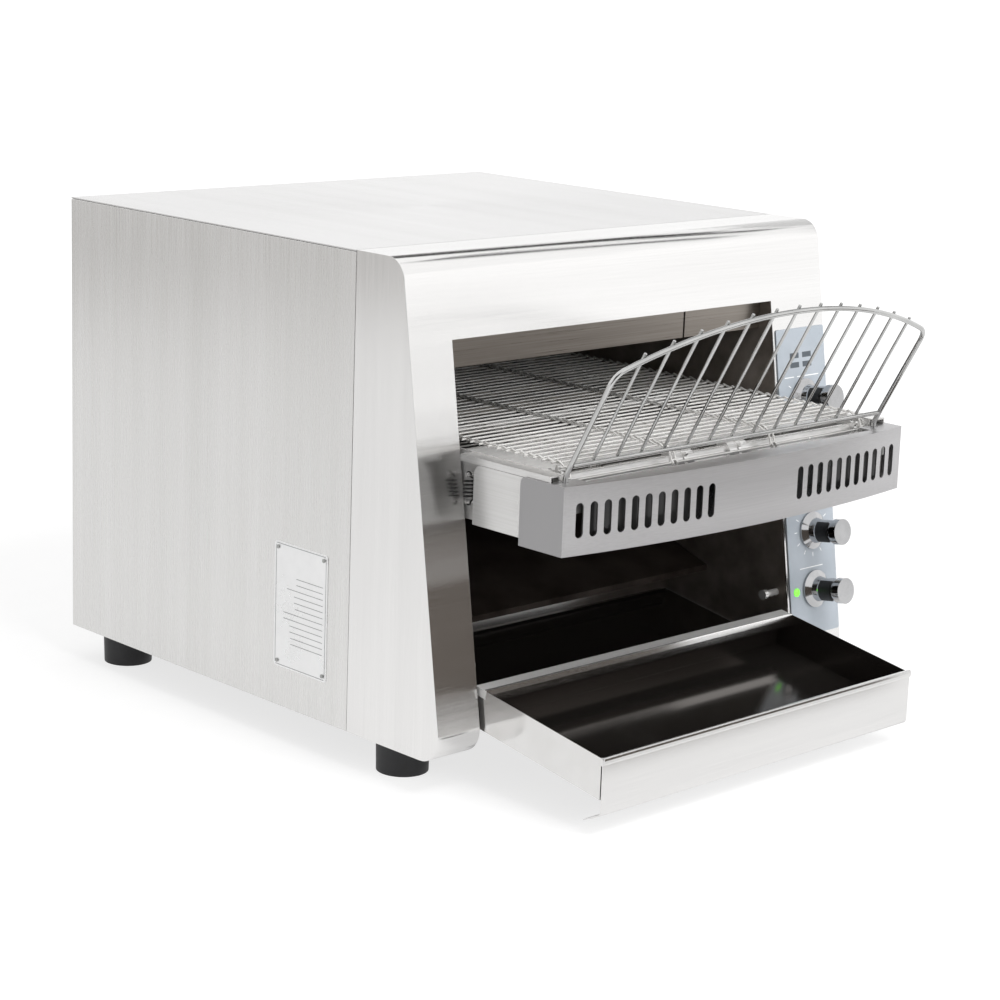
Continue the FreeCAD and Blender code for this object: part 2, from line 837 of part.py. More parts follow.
# Side panels: folded channels with inward flanges at the seam and at the back
for name, side in SIDES.items():
    panel = new_body(name + "_side_panel")
    outer, skin = at_side(side, "0", "sheet")[::side * -1]
    flange = at_side(side, "panel_flange", "panel_flange")[0]
    slab(panel, "Z", [
        (outer, "wrap_front_y"),
        (flange, "wrap_front_y"),
        (flange, "wrap_front_y + sheet"),
        (skin, "wrap_front_y + sheet"),
        (skin, "back_y - sheet"),
        (flange, "back_y - sheet"),
        (flange, "back_y"),
        (outer, "back_y"),
    ], "floor_z", "side_top_z")
    if name == "right":
        middle = "(wrap_front_y + back_y) / 2"
        row = rectangle(
            ("%s - louvre_length / 2" % middle, "%s + louvre_length / 2" % middle),
            ("floor_z + louvre_base", "floor_z + louvre_base + louvre_height"),
        )
        span = at_side(side, "0 - overrun", "sheet + overrun")
        vent = recess(panel, "X", row, span[0], span[1])
        repeat(panel, [vent], "Z", "louvre_pitch", LOUVRES)

# Top cover: a lid whose side lips drop inside the side panels
cover = new_body("top_cover")
slab(cover, "Z", rectangle(("0 - half_width", "half_width"), ("wrap_front_y", "back_y")),
     "top_z - sheet", "top_z")
for side in SIDES.values():
    lip = at_side(side, "sheet + seat_gap", "2 * sheet + seat_gap")
    slab(cover, "Z", rectangle(lip, ("pan_seam_y", "pan_rear_y")), "top_z - cover_lip", "top_z - sheet")

# Rear cover with two columns of vents, the fan's slots and the hole of the cord gland
rear = new_body("rear_cover")
rear_plate = rectangle(("0 - cover_half", "cover_half"),
                       ("floor_z + rear_cover_inset", "top_z - rear_cover_inset"))
slab(rear, "Y", rear_plate, "cover_y", "cover_y + sheet")
rear_cut = ("cover_y - overrun", "cover_y + sheet + overrun")
vents = []
for side in (-1, 1):
    centre_x = "(%d) * louvre_offset" % side
    vent = rectangle((centre_x + " - louvre_length / 2", centre_x + " + louvre_length / 2"),
                     ("floor_z + louvre_base", "floor_z + louvre_base + louvre_height"))
    vents.append(recess(rear, "Y", vent, *rear_cut))
repeat(rear, vents, "Z", "louvre_pitch", LOUVRES)
fan_slot = rectangle(("fan_x - fan_slot_length / 2", "fan_x + fan_slot_length / 2"),
                     ("fan_z - fan_slot_pitch * %g" % ((FAN_SLOTS - 1) / 2) + " - fan_slot_height / 2",
                      "fan_z - fan_slot_pitch * %g" % ((FAN_SLOTS - 1) / 2) + " + fan_slot_height / 2"))
first_slot = recess(rear, "Y", fan_slot, *rear_cut)
repeat(rear, [first_slot], "Z", "fan_slot_pitch", FAN_SLOTS)
bore(rear, "Y", ("gland_x", "gland_z"), "gland_radius + running_gap", *rear_cut)

# Screws of the rear cover
heads = []
for column in ("0 - cover_half + screw_inset", "0", "cover_half - screw_inset"):
    for level in ("floor_z + rear_cover_inset + screw_inset", "top_z - rear_cover_inset - screw_inset"):
        heads.append(rod("screw", "Y", (column, level), "screw_radius",
                         "cover_y + sheet + running_gap", "cover_y + sheet + running_gap + screw_height"))
group("rear_cover_screws", heads)

# Base pan with upturned edges and a tongue that closes the floor between the columns
pan = new_body("base_pan")
slab(pan, "Z", rectangle(("0 - pan_half", "pan_half"), ("pan_seam_y", "pan_rear_y")), "floor_z", "pan_top_z")
slab(pan, "Z", rectangle(("chamber_left_x", "chamber_right_x"), ("pan_front_y", "pan_seam_y")),
     "floor_z", "pan_top_z")
for side in (-1, 1):
    upturn = at_side(side, "sheet + seat_gap", "2 * sheet + seat_gap")
    slab(pan, "Z", rectangle(upturn, ("pan_seam_y", "pan_rear_y")), "pan_top_z", "floor_z + pan_depth")
slab(pan, "Z", rectangle(("0 - pan_half", "pan_half"), ("pan_rear_y - sheet", "pan_rear_y")),
     "pan_top_z", "floor_z + pan_depth")

# Rubber feet, each with the recess of its bolt
feet = []
for x_side in (-1, 1):
    for y_side in (-1, 1):
        centre = ("(%d) * foot_spacing_x / 2" % x_side, "(%d) * foot_spacing_y / 2" % y_side)
        foot = document.addObject("Part::Cone", "foot_piece")
        foot.setExpression("Radius1", bound("foot_radius - foot_draft"))
        foot.setExpression("Radius2", bound("foot_radius"))
        foot.setExpression("Height", bound("foot_height - seat_gap"))
        stand(foot, (centre[0], centre[1], "0"))
        hole = rod("foot", "Z", centre, "foot_recess_radius", "0 - overrun", "foot_recess")
        feet.append(without(foot, [hole]))
group("rubber_feet", feet)

# Chamber walls, which close the two columns towards the opening
for name, side in SIDES.items():
    wall = new_body("chamber_%s_wall" % name)
    low, high = across_span(side, "0 - sheet", "0")
    slab(wall, "X", [
        ("wall_foot_y", "wall_base_z"),
        ("wall_corner_y", "wall_corner_z"),
        ("wall_top_y", "wall_top_z"),
        ("chamber_back_y", "wall_top_z"),
        ("chamber_back_y", "wall_base_z"),
    ], low, high)
    if name == "right":
        bore(wall, "X", ("rear_shaft_y", "shaft_z"), "shaft_radius + spindle_clearance",
             "opening_right_x - overrun", "opening_right_x + sheet + overrun")

# Upper reflector: the chamber's ceiling, turned down behind the belt
ceiling = new_body("upper_reflector")
slab(ceiling, "X", [
    ("reflector_front_y", "chamber_top_z"),
    ("reflector_front_y", "wall_top_z"),
    ("chamber_back_y", "wall_top_z"),
    ("chamber_back_y", "chute_top_z + seat_gap"),
    ("chute_bend_y", "chute_top_z + seat_gap"),
    ("chute_bend_y", "chamber_top_z"),
], "chamber_left_x", "chamber_right_x")

# Front baffle in two plates, with a joint between them
baffle_spans = [
    ("chamber_left_x", "baffle_joint_x - baffle_joint_gap / 2"),
    ("baffle_joint_x + baffle_joint_gap / 2", "chamber_right_x"),
]
plates = [box("baffle", span, ("baffle_y", "baffle_y + sheet"), ("baffle_z", "wall_top_z"))
          for span in baffle_spans]
group("front_baffle", plates)

# Lower reflector: a trough under the belt, between the rails
trough = new_body("lower_reflector")
left_x = across(-1, "web_inset + seat_gap")
right_x = across(1, "web_inset + seat_gap")
trough_z = "shaft_z - lower_reflector_drop"
slab(trough, "Y", [
    (left_x, trough_z),
    (right_x, trough_z),
    (right_x, trough_z + " + reflector_flange"),
    (right_x + " - sheet", trough_z + " + reflector_flange"),
    (right_x + " - sheet", trough_z + " + sheet"),
    (left_x + " + sheet", trough_z + " + sheet"),
    (left_x + " + sheet", trough_z + " + reflector_flange"),
    (left_x, trough_z + " + reflector_flange"),
], "seam_y - lower_reflector_front", "seam_y - lower_reflector_front + lower_reflector_length")

# Toast chute: a sheet that slopes to the front and sweeps up behind the belt
chute = new_body("toast_chute")
slab(chute, "X", [
    ("chute_y", "chute_z"),
    ("chute_bend_y", "chute_bend_z"),
    ("chute_bend_y", "chute_top_z"),
    ("chamber_back_y", "chute_top_z"),
    ("chamber_back_y", "chute_bend_z - chute_skin"),
    ("chute_y + sheet", "chute_z - chute_skin"),
    ("chute_y + sheet", "chute_z - chute_hem"),
    ("chute_y", "chute_z - chute_hem"),
], "chamber_left_x", "chamber_right_x")
round_edges(chute, "chute_bend_radius", centred_at(y="chute_bend_y", z="chute_bend_z"))
round_edges(chute, "chute_bend_radius + sheet", centred_at(y="chamber_back_y", z="chute_back_z"))

def tube_seat(centre, span):
    """A square seat for the end of a heating tube."""
    reach = " (tube_radius + running_gap)"
    y_span = (centre[0] + " -" + reach, centre[0] + " +" + reach)
    z_span = (centre[1] + " -" + reach, centre[1] + " +" + reach)
    return box("seat", span, y_span, z_span)


# Heating tubes above and below the belt, held in insulating strips
upper_tubes = []
upper_seats = {-1: [], 1: []}
for index in range(UPPER_TUBES):
    centre = ("upper_tube_y + %d * upper_tube_pitch" % index, "upper_tube_z")
    ends = [across(side, "seat_gap + block_thickness - tube_seat_depth") for side in (-1, 1)]
    upper_tubes.append(rod("upper_tube", "X", centre, "tube_radius", ends[0], ends[1]))
    for side in (-1, 1):
        span = across_span(side, "seat_gap + block_thickness - tube_seat_depth - seat_gap",
                           "block_thickness + overrun")
        upper_seats[side].append(tube_seat(centre, span))
group("upper_heating_tubes", upper_tubes)
lower_tubes = []
lower_seats = {-1: [], 1: []}
for index in range(LOWER_TUBES):
    centre = ("lower_tube_y + %d * lower_tube_pitch" % index, "shaft_z")
    ends = [across(side, "web_inset + seat_gap + lower_block_thickness - tube_seat_depth")
            for side in (-1, 1)]
    lower_tubes.append(rod("lower_tube", "X", centre, "tube_radius", ends[0], ends[1]))
    for side in (-1, 1):
        span = across_span(side, "web_inset + lower_block_thickness - tube_seat_depth",
                           "web_inset + lower_block_thickness + overrun")
        lower_seats[side].append(tube_seat(centre, span))
group("lower_heating_tubes", lower_tubes)
strips = []
for side in (-1, 1):
    upper_strip = box(
        "upper_strip",
        across_span(side, "seat_gap", "seat_gap + block_thickness"),
        ("upper_tube_y - block_height",
         "upper_tube_y + %d * upper_tube_pitch + block_height" % (UPPER_TUBES - 1)),
        ("upper_tube_z - block_height / 2", "upper_tube_z + block_height / 2"),
    )
    strips.append(without(upper_strip, upper_seats[side]))
    lower_strip = box(
        "lower_strip",
        across_span(side, "web_inset + seat_gap", "web_inset + seat_gap + lower_block_thickness"),
        ("lower_strip_y", "lower_strip_end_y"),
        ("shaft_z - block_height / 2", "shaft_z + block_height / 2"),
    )
    strips.append(without(lower_strip, lower_seats[side]))
group("tube_insulators", strips)

# Conveyor rails: a web on each side, turned out over the cover plates in front of the face
for name, side in SIDES.items():
    rail = new_body(name + "_conveyor_rail")
    web = across_span(side, "rail_side_gap", "web_inset")
    slab(rail, "X", [
        ("rail_front_y", "rail_base_z"),
        ("rail_rear_y - rail_cut_run", "rail_base_z"),
        ("rail_rear_y", "rail_base_z + rail_cut_rise"),
        ("rail_rear_y", "rail_top_z"),
        ("rail_front_y", "rail_top_z"),
    ], *web)
    slab(rail, "Z", rectangle(across_span(side, "0 - cover_reach", "web_inset"),
                              ("cover_front_y", "shelf_rear_y")), "rail_top_z - sheet", "rail_top_z")
    slab(rail, "Z", rectangle(across_span(side, "0 - cover_reach", "sheet - cover_reach"),
                              ("cover_front_y", "shelf_rear_y")), "rail_top_z - rail_lip", "rail_top_z")
    for y in ("front_shaft_y", "rear_shaft_y"):
        cut = across_span(side, "rail_side_gap - overrun", "web_inset + overrun")
        bore(rail, "X", (y, "shaft_z"), "bush_radius + running_gap", *cut)
    for y in ("shelf_rear_y + 2 * cover_reach", "rail_rear_y - 2 * cover_reach"):
        boss = across_span(side, "seat_gap", "rail_side_gap")
        disc(rail, "X", (y, "(rail_base_z + rail_top_z) / 2"), "rail_boss_radius", *boss)
    for level in ("floor_z + spring_base",
                  "floor_z + spring_base + %d * spring_pitch + 4 * spring_stud_radius" % SPRING_TURNS):
        stud = across_span(side, "0 - spring_mean_radius - spring_stud_radius", "rail_side_gap")
        disc(rail, "X", ("shelf_rear_y - spring_setback", level), "spring_stud_radius", *stud)

# Cover plates in front of the face, on the outside of the rails
for name, side in SIDES.items():
    plate = new_body(name + "_cover_plate")
    low, high = across_span(side, "0 - cover_reach", "sheet - cover_reach")
    slab(plate, "X", rectangle(("cover_front_y", "cover_rear_y"),
                               ("rail_base_z + sheet", "cover_top_z")), low, high)
    round_edges(plate, "cover_corner_radius", centred_at(y="cover_rear_y", z="cover_top_z"))

# Flanged bushes, which carry the two conveyor shafts in the rails
bushes = []
for side in (-1, 1):
    for y in ("front_shaft_y", "rear_shaft_y"):
        centre = (y, "shaft_z")
        seat = "web_inset + running_gap + bush_flange"
        barrel = rod("bush", "X", centre, "bush_radius", *across_span(side, seat + " - bush_length", seat))
        collar = rod("bush", "X", centre, "bush_flange_radius",
                     *across_span(side, "web_inset + running_gap", seat))
        hole = rod("bush", "X", centre, "shaft_radius + running_gap",
                   *across_span(side, seat + " - bush_length - overrun", seat + " + overrun"))
        bushes.append(without(joined([barrel, collar]), [hole]))
group("shaft_bearings", bushes)

# The two conveyor shafts. The rear one goes on through the wall to the drive
for name, y, right_end in (
    ("idler_shaft", "front_shaft_y", across(1, "shaft_end_inset")),
    ("drive_shaft", "rear_shaft_y", "chain_x + chain_wheel_thickness"),
):
    shaft = new_body(name)
    disc(shaft, "X", (y, "shaft_z"), "shaft_radius", across(-1, "shaft_end_inset"), right_end)

# Toothed wheels of the belt, four on each shaft, the inner ones with long hubs
WHEELS = {
    across(-1, "belt_inset + edge_wheel_inset"): False,
    "opening_mid_x - left_wheel_offset": True,
    "opening_mid_x + right_wheel_offset": True,
    across(1, "belt_inset + edge_wheel_inset"): False,
}
for name, y in (("idler_sprockets", "front_shaft_y"), ("drive_sprockets", "rear_shaft_y")):
    wheels = new_body(name)
    wheels.AllowCompound = True
    teeth = []
    for x, has_hub in WHEELS.items():
        faces = (x + " - wheel_thickness / 2", x + " + wheel_thickness / 2")
        disc(wheels, "X", ("0", "0"), "wheel_root_radius", *faces)
        if has_hub:
            disc(wheels, "X", ("0", "0"), "hub_radius", x + " - hub_length / 2", x + " + hub_length / 2")
    for x in WHEELS:
        faces = (x + " - wheel_thickness / 2", x + " + wheel_thickness / 2")
        tooth = [
            ("0 - wheel_tooth_root / 2", "wheel_root_radius - wheel_tooth_height / 2"),
            ("wheel_tooth_root / 2", "wheel_root_radius - wheel_tooth_height / 2"),
            ("wheel_tooth_tip / 2", "wheel_tip_radius"),
            ("0 - wheel_tooth_tip / 2", "wheel_tip_radius"),
        ]
        teeth.append(slab(wheels, "X", tooth, *faces))
    repeat_round(wheels, teeth, "X", BELT_WHEEL_TEETH)
    bore(wheels, "X", ("0", "0"), "shaft_radius + running_gap",
         across(-1, "belt_inset - overrun"), across(1, "belt_inset - overrun"))
    stand(wheels, ("0", y, "shaft_z"))


def loop_point(distance, radius, spacing, start_y, middle_z):
    """A point and a direction of travel on a closed path round two equal turns."""
    turn = math.pi * radius
    distance = distance % (2 * spacing + 2 * turn)
    if distance < spacing:
        return FreeCAD.Vector(0, start_y + distance, middle_z + radius), 0.0
    if distance < spacing + turn:
        angle = (distance - spacing) / radius
        return FreeCAD.Vector(
            0,
            start_y + spacing + radius * math.sin(angle),
            middle_z + radius * math.cos(angle),
        ), -angle
    if distance < 2 * spacing + turn:
        return FreeCAD.Vector(0, start_y + 2 * spacing + turn - distance, middle_z - radius), -math.pi
    angle = (distance - 2 * spacing - turn) / radius
    return FreeCAD.Vector(
        0,
        start_y - radius * math.sin(angle),
        middle_z - radius * math.cos(angle),
    ), -math.pi - angle


def belt_strand(left, right, link_middles, link_reach):
    """One strand as a flat comb: a bar across the belt and the links that reach to the next bar."""
    half = size("strand_width") / 2
    width = size("link_width")
    outline = [FreeCAD.Vector(left, -half, -half), FreeCAD.Vector(right, -half, -half)]
    for middle in sorted(link_middles, reverse=True):
        for x, y in ((width / 2, half), (width / 2, link_reach), (-width / 2, link_reach), (-width / 2, half)):
            point = FreeCAD.Vector(middle + x, y, -half)
            if (point - outline[-1]).Length > size("find_tolerance"):
                outline.append(point)
    wire = Part.makePolygon(outline + [outline[0]])
    return Part.Face(wire).extrude(Z_AXIS * (2 * half))


# Wire belt: one solid for each strand, laid along the path round the two shafts
belt_radius = size("belt_radius")
belt_path = 2 * size("shaft_spacing") + 2 * math.pi * belt_radius
strand_count = round(belt_path / size("belt_pitch"))
strand_pitch = belt_path / strand_count
belt_left = size("opening_mid_x") - size("belt_half")
belt_right = size("opening_mid_x") + size("belt_half")
edge = size("link_width") / 2
link_middles = [
    belt_left + edge,
    size("opening_mid_x") - size("link_offset"),
    size("opening_mid_x") + size("link_offset"),
    belt_right - edge,
]
belt_stops = [
    loop_point(index * strand_pitch, belt_radius, size("shaft_spacing"), size("front_shaft_y"), size("shaft_z"))[0]
    for index in range(strand_count)
]
strands = []
for index, stop in enumerate(belt_stops):
    following = belt_stops[(index + 1) % strand_count]
    after = belt_stops[(index + 2) % strand_count]
    heading = following - stop
    next_heading = after - following
    turn = abs(heading.getAngle(next_heading))
    next_reach = size("strand_width") / 2 * (abs(math.cos(turn)) + abs(math.sin(turn)))
    reach = heading.Length - next_reach - size("strand_gap")
    strand = belt_strand(belt_left, belt_right, link_middles, reach)
    lift = math.degrees(math.atan2(heading.z, heading.y))
    strand.Placement = FreeCAD.Placement(stop, FreeCAD.Rotation(X_AXIS, lift))
    strands.append(strand)
shaped("conveyor_belt", Part.Compound(strands))

# Supports of the belt's upper run
supports = []
for offset in ("0 - support_rod_offset", "0", "support_rod_offset"):
    supports.append(rod("support", "Y", ("opening_mid_x + " + offset, "rod_z"), "support_rod_radius",
                        "front_shaft_y + wheel_tip_radius + support_end_gap",
                        "rear_shaft_y - wheel_tip_radius - support_end_gap"))
for y in ("lower_strip_y - 3 * cross_bar_radius", "lower_strip_end_y + 2 * cross_bar_radius"):
    supports.append(rod("cross_bar", "X", (y, "cross_bar_z"), "cross_bar_radius",
                        across(-1, "web_inset + seat_gap"), across(1, "web_inset + seat_gap")))
group("belt_support_rods", supports)

# Bed plate under the loading end of the belt
bed = new_body("belt_bed_plate")
bed_ends = (across(-1, "web_inset + seat_gap"), across(1, "web_inset + seat_gap"))
slab(bed, "Z", rectangle(bed_ends, ("bed_front_y", "bed_front_y + bed_length")),
     "bed_top_z - sheet", "bed_top_z")
slab(bed, "Y", rectangle(bed_ends, ("bed_top_z - panel_hem", "bed_top_z")),
     "bed_front_y + bed_length - sheet", "bed_front_y + bed_length")


def biarc(start, start_way, end, end_way):
    """Two arcs that leave one point and reach another along the given directions."""
    gap = end - start
    both = start_way + end_way
    a = 2 * (1 - start_way.dot(end_way))
    b = 2 * gap.dot(both)
    c = -gap.dot(gap)
    reach = (-b + math.sqrt(b * b - 4 * a * c)) / (2 * a)
    first = start + start_way * reach
    last = end - end_way * reach
    joint = (first + last) * 0.5
    arcs = []
    for tail, corner, head in ((start, first, joint), (joint, last, end)):
        chord_middle = (tail + head) * 0.5
        half_chord = (head - tail).Length / 2
        depth = (corner - chord_middle).Length
        leg = (corner - tail).Length
        sagitta = half_chord * (leg - half_chord) / depth
        arcs.append(Part.Arc(tail, chord_middle + (corner - chord_middle) * (sagitta / depth), head).toShape())
    return arcs


def coil(centre, mean_radius, wire_radius, pitch, turns):
    """An unbroken wire wound about an upright axis, with its least gap to itself printed."""
    def point(half):
        angle = half * math.pi
        return centre + FreeCAD.Vector(
            mean_radius * math.cos(angle),
            mean_radius * math.sin(angle),
            pitch * half / 2,
        )

    def way(half):
        angle = half * math.pi
        direction = FreeCAD.Vector(-math.sin(angle), math.cos(angle), pitch / (2 * math.pi * mean_radius))
        return direction.normalize()

    edges = []
    for half in range(2 * turns):
        edges += biarc(point(half), way(half), point(half + 1), way(half + 1))
    path = Part.Wire(edges)
    profile = Part.Wire(Part.Circle(point(0), way(0), wire_radius).toShape())
    wound = path.makePipeShell([profile], True, False)
    turns_apart = [(point(half) - point(half + 2)).Length for half in range(2 * (turns - 1))]
    print("least gap between the spring's turns, mm: %.3f" % (min(turns_apart) - 2 * wire_radius))
    return wound


# Tension springs of the belt, seen in the gaps between the face and the cover plates
springs = []
for side in SIDES.values():
    out = size("opening_half") + size("spring_mean_radius") + size("spring_wire_radius") - size("rail_side_gap")
    foot = FreeCAD.Vector(
        size("opening_mid_x") + side * (out + size("seat_gap")),
        size("shelf_rear_y") - size("spring_setback"),
        size("floor_z") + size("spring_base") + size("spring_stud_radius") + size("spring_wire_radius") * 2,
    )
    springs.append(coil(foot, size("spring_mean_radius"), size("spring_wire_radius"),
                        size("spring_pitch"), SPRING_TURNS))
shaped("tension_springs", Part.Compound(springs))

# Front apron: a bowed front with a flange on top, slots for air and a wing on each side
apron = new_body("front_apron")
raise_sketch(apron, "PartDesign::Pad", "Z", ("apron_base_z", "apron_top_z"), draw_bow,
             ("0", "apron_end_y + apron_flange"))
raise_sketch(apron, "PartDesign::Pocket", "Z", ("apron_base_z - overrun", "apron_top_z - sheet"), draw_bow,
             ("sheet", "apron_end_y + apron_flange + overrun"))
for side in (-1, 1):
    wing = across_span(side, "0 - apron_overhang", "sheet - apron_overhang")
    slab(apron, "X", rectangle(("apron_end_y + apron_flange - sheet", "apron_end_y + wing_depth"),
                               ("apron_base_z", "apron_top_z")), *wing)
round_edges(apron, "wing_corner_radius", centred_at(y="wing_rear_y", z="apron_top_z"))
slot_z = "(apron_base_z + apron_top_z) / 2"
slot_run = "slot_first + slot_pitch * %d" % (APRON_SLOTS - 1)
slots = [
    slot(apron, "Y", (start, slot_z), "slot_width", "slot_height",
         "apron_end_y - apron_bow - overrun", "apron_end_y + apron_flange / 2")
    for start in ("opening_mid_x + slot_first", "opening_mid_x - (%s)" % slot_run)
]
repeat(apron, slots, "X", "slot_pitch", APRON_SLOTS)
for side in (-1, 1):
    bore(apron, "Z", ("guard_mid_x + (%d) * guard_width / 2" % side, "guard_y"),
         "guard_wire_radius + socket_clearance", "apron_top_z - sheet - overrun", "apron_top_z + overrun")

recess(apron, "Z", rectangle(
    ("guard_mid_x - guard_width / 2 + socket_width", "guard_mid_x + guard_width / 2 - socket_width"),
    ("apron_end_y + apron_rim", "apron_end_y + apron_flange + overrun"),
), "apron_top_z - sheet - overrun", "apron_top_z + overrun")

# Dark shield behind the slots, between the guard's sockets
shield = new_body("apron_shield")
shield_reach = "(guard_width / 2 - socket_width / 2 - seat_gap)"
slab(shield, "Y", rectangle(
    ("guard_mid_x - " + shield_reach, "guard_mid_x + " + shield_reach),
    ("apron_base_z + shield_rise", "apron_top_z - sheet - seat_gap"),
), "apron_end_y + seat_gap", "apron_end_y + seat_gap + sheet")

# Sockets behind the apron, which take the guard's legs
sockets = []
for side in (-1, 1):
    leg_x = "guard_mid_x + (%d) * guard_width / 2" % side
    socket = box("socket", (leg_x + " - socket_width / 2", leg_x + " + socket_width / 2"),
                 ("apron_end_y + sheet + seat_gap / 2", "apron_end_y + apron_flange + seat_gap * 2"),
                 ("apron_top_z - sheet - seat_gap - socket_height", "apron_top_z - sheet - seat_gap"))
    hole = rod("socket", "Z", (leg_x, "guard_y"), "guard_wire_radius + socket_clearance",
               "guard_foot_z - seat_gap", "apron_top_z")
    sockets.append(without(socket, [hole]))
group("guard_sockets", sockets)


def bent_path(points, radii):
    """A path through points, straight between them, with an arc of the given radius at each corner."""
    edges = []
    tail = points[0]
    for index in range(1, len(points) - 1):
        corner = points[index]
        back = (points[index - 1] - corner).normalize()
        ahead = (points[index + 1] - corner).normalize()
        half_turn = (math.pi - back.getAngle(ahead)) / 2
        reach = radii[index - 1] * math.tan(half_turn)
        inner = (back + ahead).normalize()
        depth = radii[index - 1] * (1 / math.cos(half_turn) - 1)
        start = corner + back * reach
        end = corner + ahead * reach
        if (start - tail).Length > size("find_tolerance"):
            edges.append(Part.LineSegment(tail, start).toShape())
        edges.append(Part.Arc(start, corner + inner * depth, end).toShape())
        tail = end
    edges.append(Part.LineSegment(tail, points[-1]).toShape())
    return edges


def bent_wire(points, radii, wire_radius):
    edges = bent_path(points, radii)
    start = points[0]
    profile = Part.Wire(Part.Circle(start, points[1] - start, wire_radius).toShape())
    return Part.Wire(edges).makePipeShell([profile], True, False)


def on_guard(x, rise, back=0.0):
    """A point in the plane of the leaning guard, or behind it."""
    lean = math.radians(size("guard_lean_angle"))
    return FreeCAD.Vector(
        x,
        size("guard_y") - rise * math.sin(lean) + back * math.cos(lean),
        size("guard_bend_z") + rise * math.cos(lean) + back * math.sin(lean),
    )


# Guard of bent wire, with a rail low down and a row of thin wires behind it
guard_left = size("guard_mid_x") - size("guard_width") / 2
guard_right = size("guard_mid_x") + size("guard_width") / 2
side_rise = size("guard_side_length")
apex_rise = side_rise + 2 * size("guard_crown_rise")
crown_slope = math.atan2(2 * size("guard_crown_rise"), size("guard_width") / 2)
corner_reach = size("guard_corner_radius") * math.tan((math.pi / 2 - crown_slope) / 2)
crown_side = math.hypot(size("guard_width") / 2, 2 * size("guard_crown_rise"))
crown_bend = (crown_side - corner_reach) * size("guard_width") / 2 / (2 * size("guard_crown_rise"))
crown_bend_share = 0.999
frame_points = [
    FreeCAD.Vector(guard_left, size("guard_y"), size("guard_foot_z")),
    on_guard(guard_left, 0),
    on_guard(guard_left, side_rise),
    on_guard(size("guard_mid_x"), apex_rise),
    on_guard(guard_right, side_rise),
    on_guard(guard_right, 0),
    FreeCAD.Vector(guard_right, size("guard_y"), size("guard_foot_z")),
]
frame_radii = [
    size("guard_foot_radius"),
    size("guard_corner_radius"),
    crown_bend * crown_bend_share,
    size("guard_corner_radius"),
    size("guard_foot_radius"),
]
frame_wire = bent_wire(frame_points, frame_radii, size("guard_wire_radius"))
rail_start = guard_left + size("guard_wire_radius") + size("running_gap")
rail_end = guard_right - size("guard_wire_radius") - size("running_gap")
rail_point = on_guard(rail_start, size("guard_rail_rise"))
guard_rail = Part.makeCylinder(size("guard_rail_radius"), rail_end - rail_start, rail_point, X_AXIS)
shaped("guard_frame", Part.Compound([frame_wire, guard_rail]))
bars = []
for index in range(GUARD_BARS):
    step = index - (GUARD_BARS - 1) // 2
    bar = document.addObject("Part::Cylinder", "guard_bar")
    bar.setExpression("Radius", bound("guard_bar_radius"))
    crown = "sqrt(guard_crown_radius ^ 2 - (%d * guard_bar_pitch) ^ 2)" % abs(step)
    bar.setExpression("Height", bound(
        "guard_side_length + guard_crown_rise - guard_crown_radius + %s" % crown
        + " + guard_wire_radius + guard_bar_nub - guard_bar_start"))
    stand(bar, (
        "guard_mid_x + (%d) * guard_bar_pitch" % step,
        "guard_y - guard_bar_start * sin(guard_lean_angle) + guard_bar_offset * cos(guard_lean_angle)",
        "guard_bend_z + guard_bar_start * cos(guard_lean_angle) + guard_bar_offset * sin(guard_lean_angle)",
    ), X_AXIS, "guard_lean_angle")
    bars.append(bar)
group("guard_wires", bars)

# Toast tray on its slope, with a turned-in ledge at the back. Its own frame leans with the slope
tray_place = ("0", "tray_rest_y", "tray_rest_z")
tray_left = "opening_mid_x - tray_half"
tray_right = "opening_mid_x + tray_half"
tray = new_body("tray_body")
slab(tray, "X", [
    ("0", "0"),
    ("tray_length", "0"),
    ("tray_length", "tray_wall"),
    ("tray_wall * tray_front_run", "tray_wall"),
], tray_left, tray_right)
recess(tray, "X", [
    ("tray_sheet * tray_front_run + tray_front_skin", "tray_sheet"),
    ("tray_length - tray_sheet", "tray_sheet"),
    ("tray_length - tray_sheet", "tray_wall + overrun"),
    ("(tray_wall + overrun) * tray_front_run + tray_front_skin", "tray_wall + overrun"),
], tray_left + " + tray_sheet", tray_right + " - tray_sheet")
slab(tray, "X", [
    ("tray_length - tray_ledge", "tray_wall - tray_ledge_lip"),
    ("tray_length - tray_ledge + tray_sheet", "tray_wall - tray_ledge_lip"),
    ("tray_length - tray_ledge + tray_sheet", "tray_wall - tray_sheet"),
    ("tray_length - tray_sheet / 2", "tray_wall - tray_sheet"),
    ("tray_length - tray_sheet / 2", "tray_wall"),
    ("tray_length - tray_ledge", "tray_wall"),
], tray_left + " + tray_sheet / 2", tray_right + " - tray_sheet / 2")
stand(tray, tray_place, X_AXIS, "tray_slope_angle")

# Front of the tray: hemmed at the top, rolled under at the bottom into a finger lip
front = new_body("tray_front_panel")
slab(front, "X", [
    ("0 - panel_setoff", "panel_rise"),
    ("0 - seat_gap", "panel_rise"),
    ("0 - seat_gap", "panel_rise - panel_hem"),
    ("panel_sheet - panel_setoff", "panel_rise - panel_hem"),
    ("panel_sheet - panel_setoff", "panel_sheet - panel_drop"),
    ("panel_lip - panel_setoff", "panel_sheet - panel_drop - panel_lip_drop"),
    ("panel_lip - panel_setoff", "0 - panel_drop - panel_lip_drop"),
    ("0 - panel_setoff", "0 - panel_drop"),
], "opening_mid_x - front_panel_half", "opening_mid_x + front_panel_half")
round_edges(front, "panel_bend_radius", centred_at(y="lip_outer_y", z="lip_outer_z"))
round_edges(front, "panel_bend_radius - panel_sheet", centred_at(y="lip_inner_y", z="lip_inner_z"))
round_edges(front, "panel_top_radius", centred_at(y="lip_outer_y", z="panel_top_z"))
stand(front, tray_place)

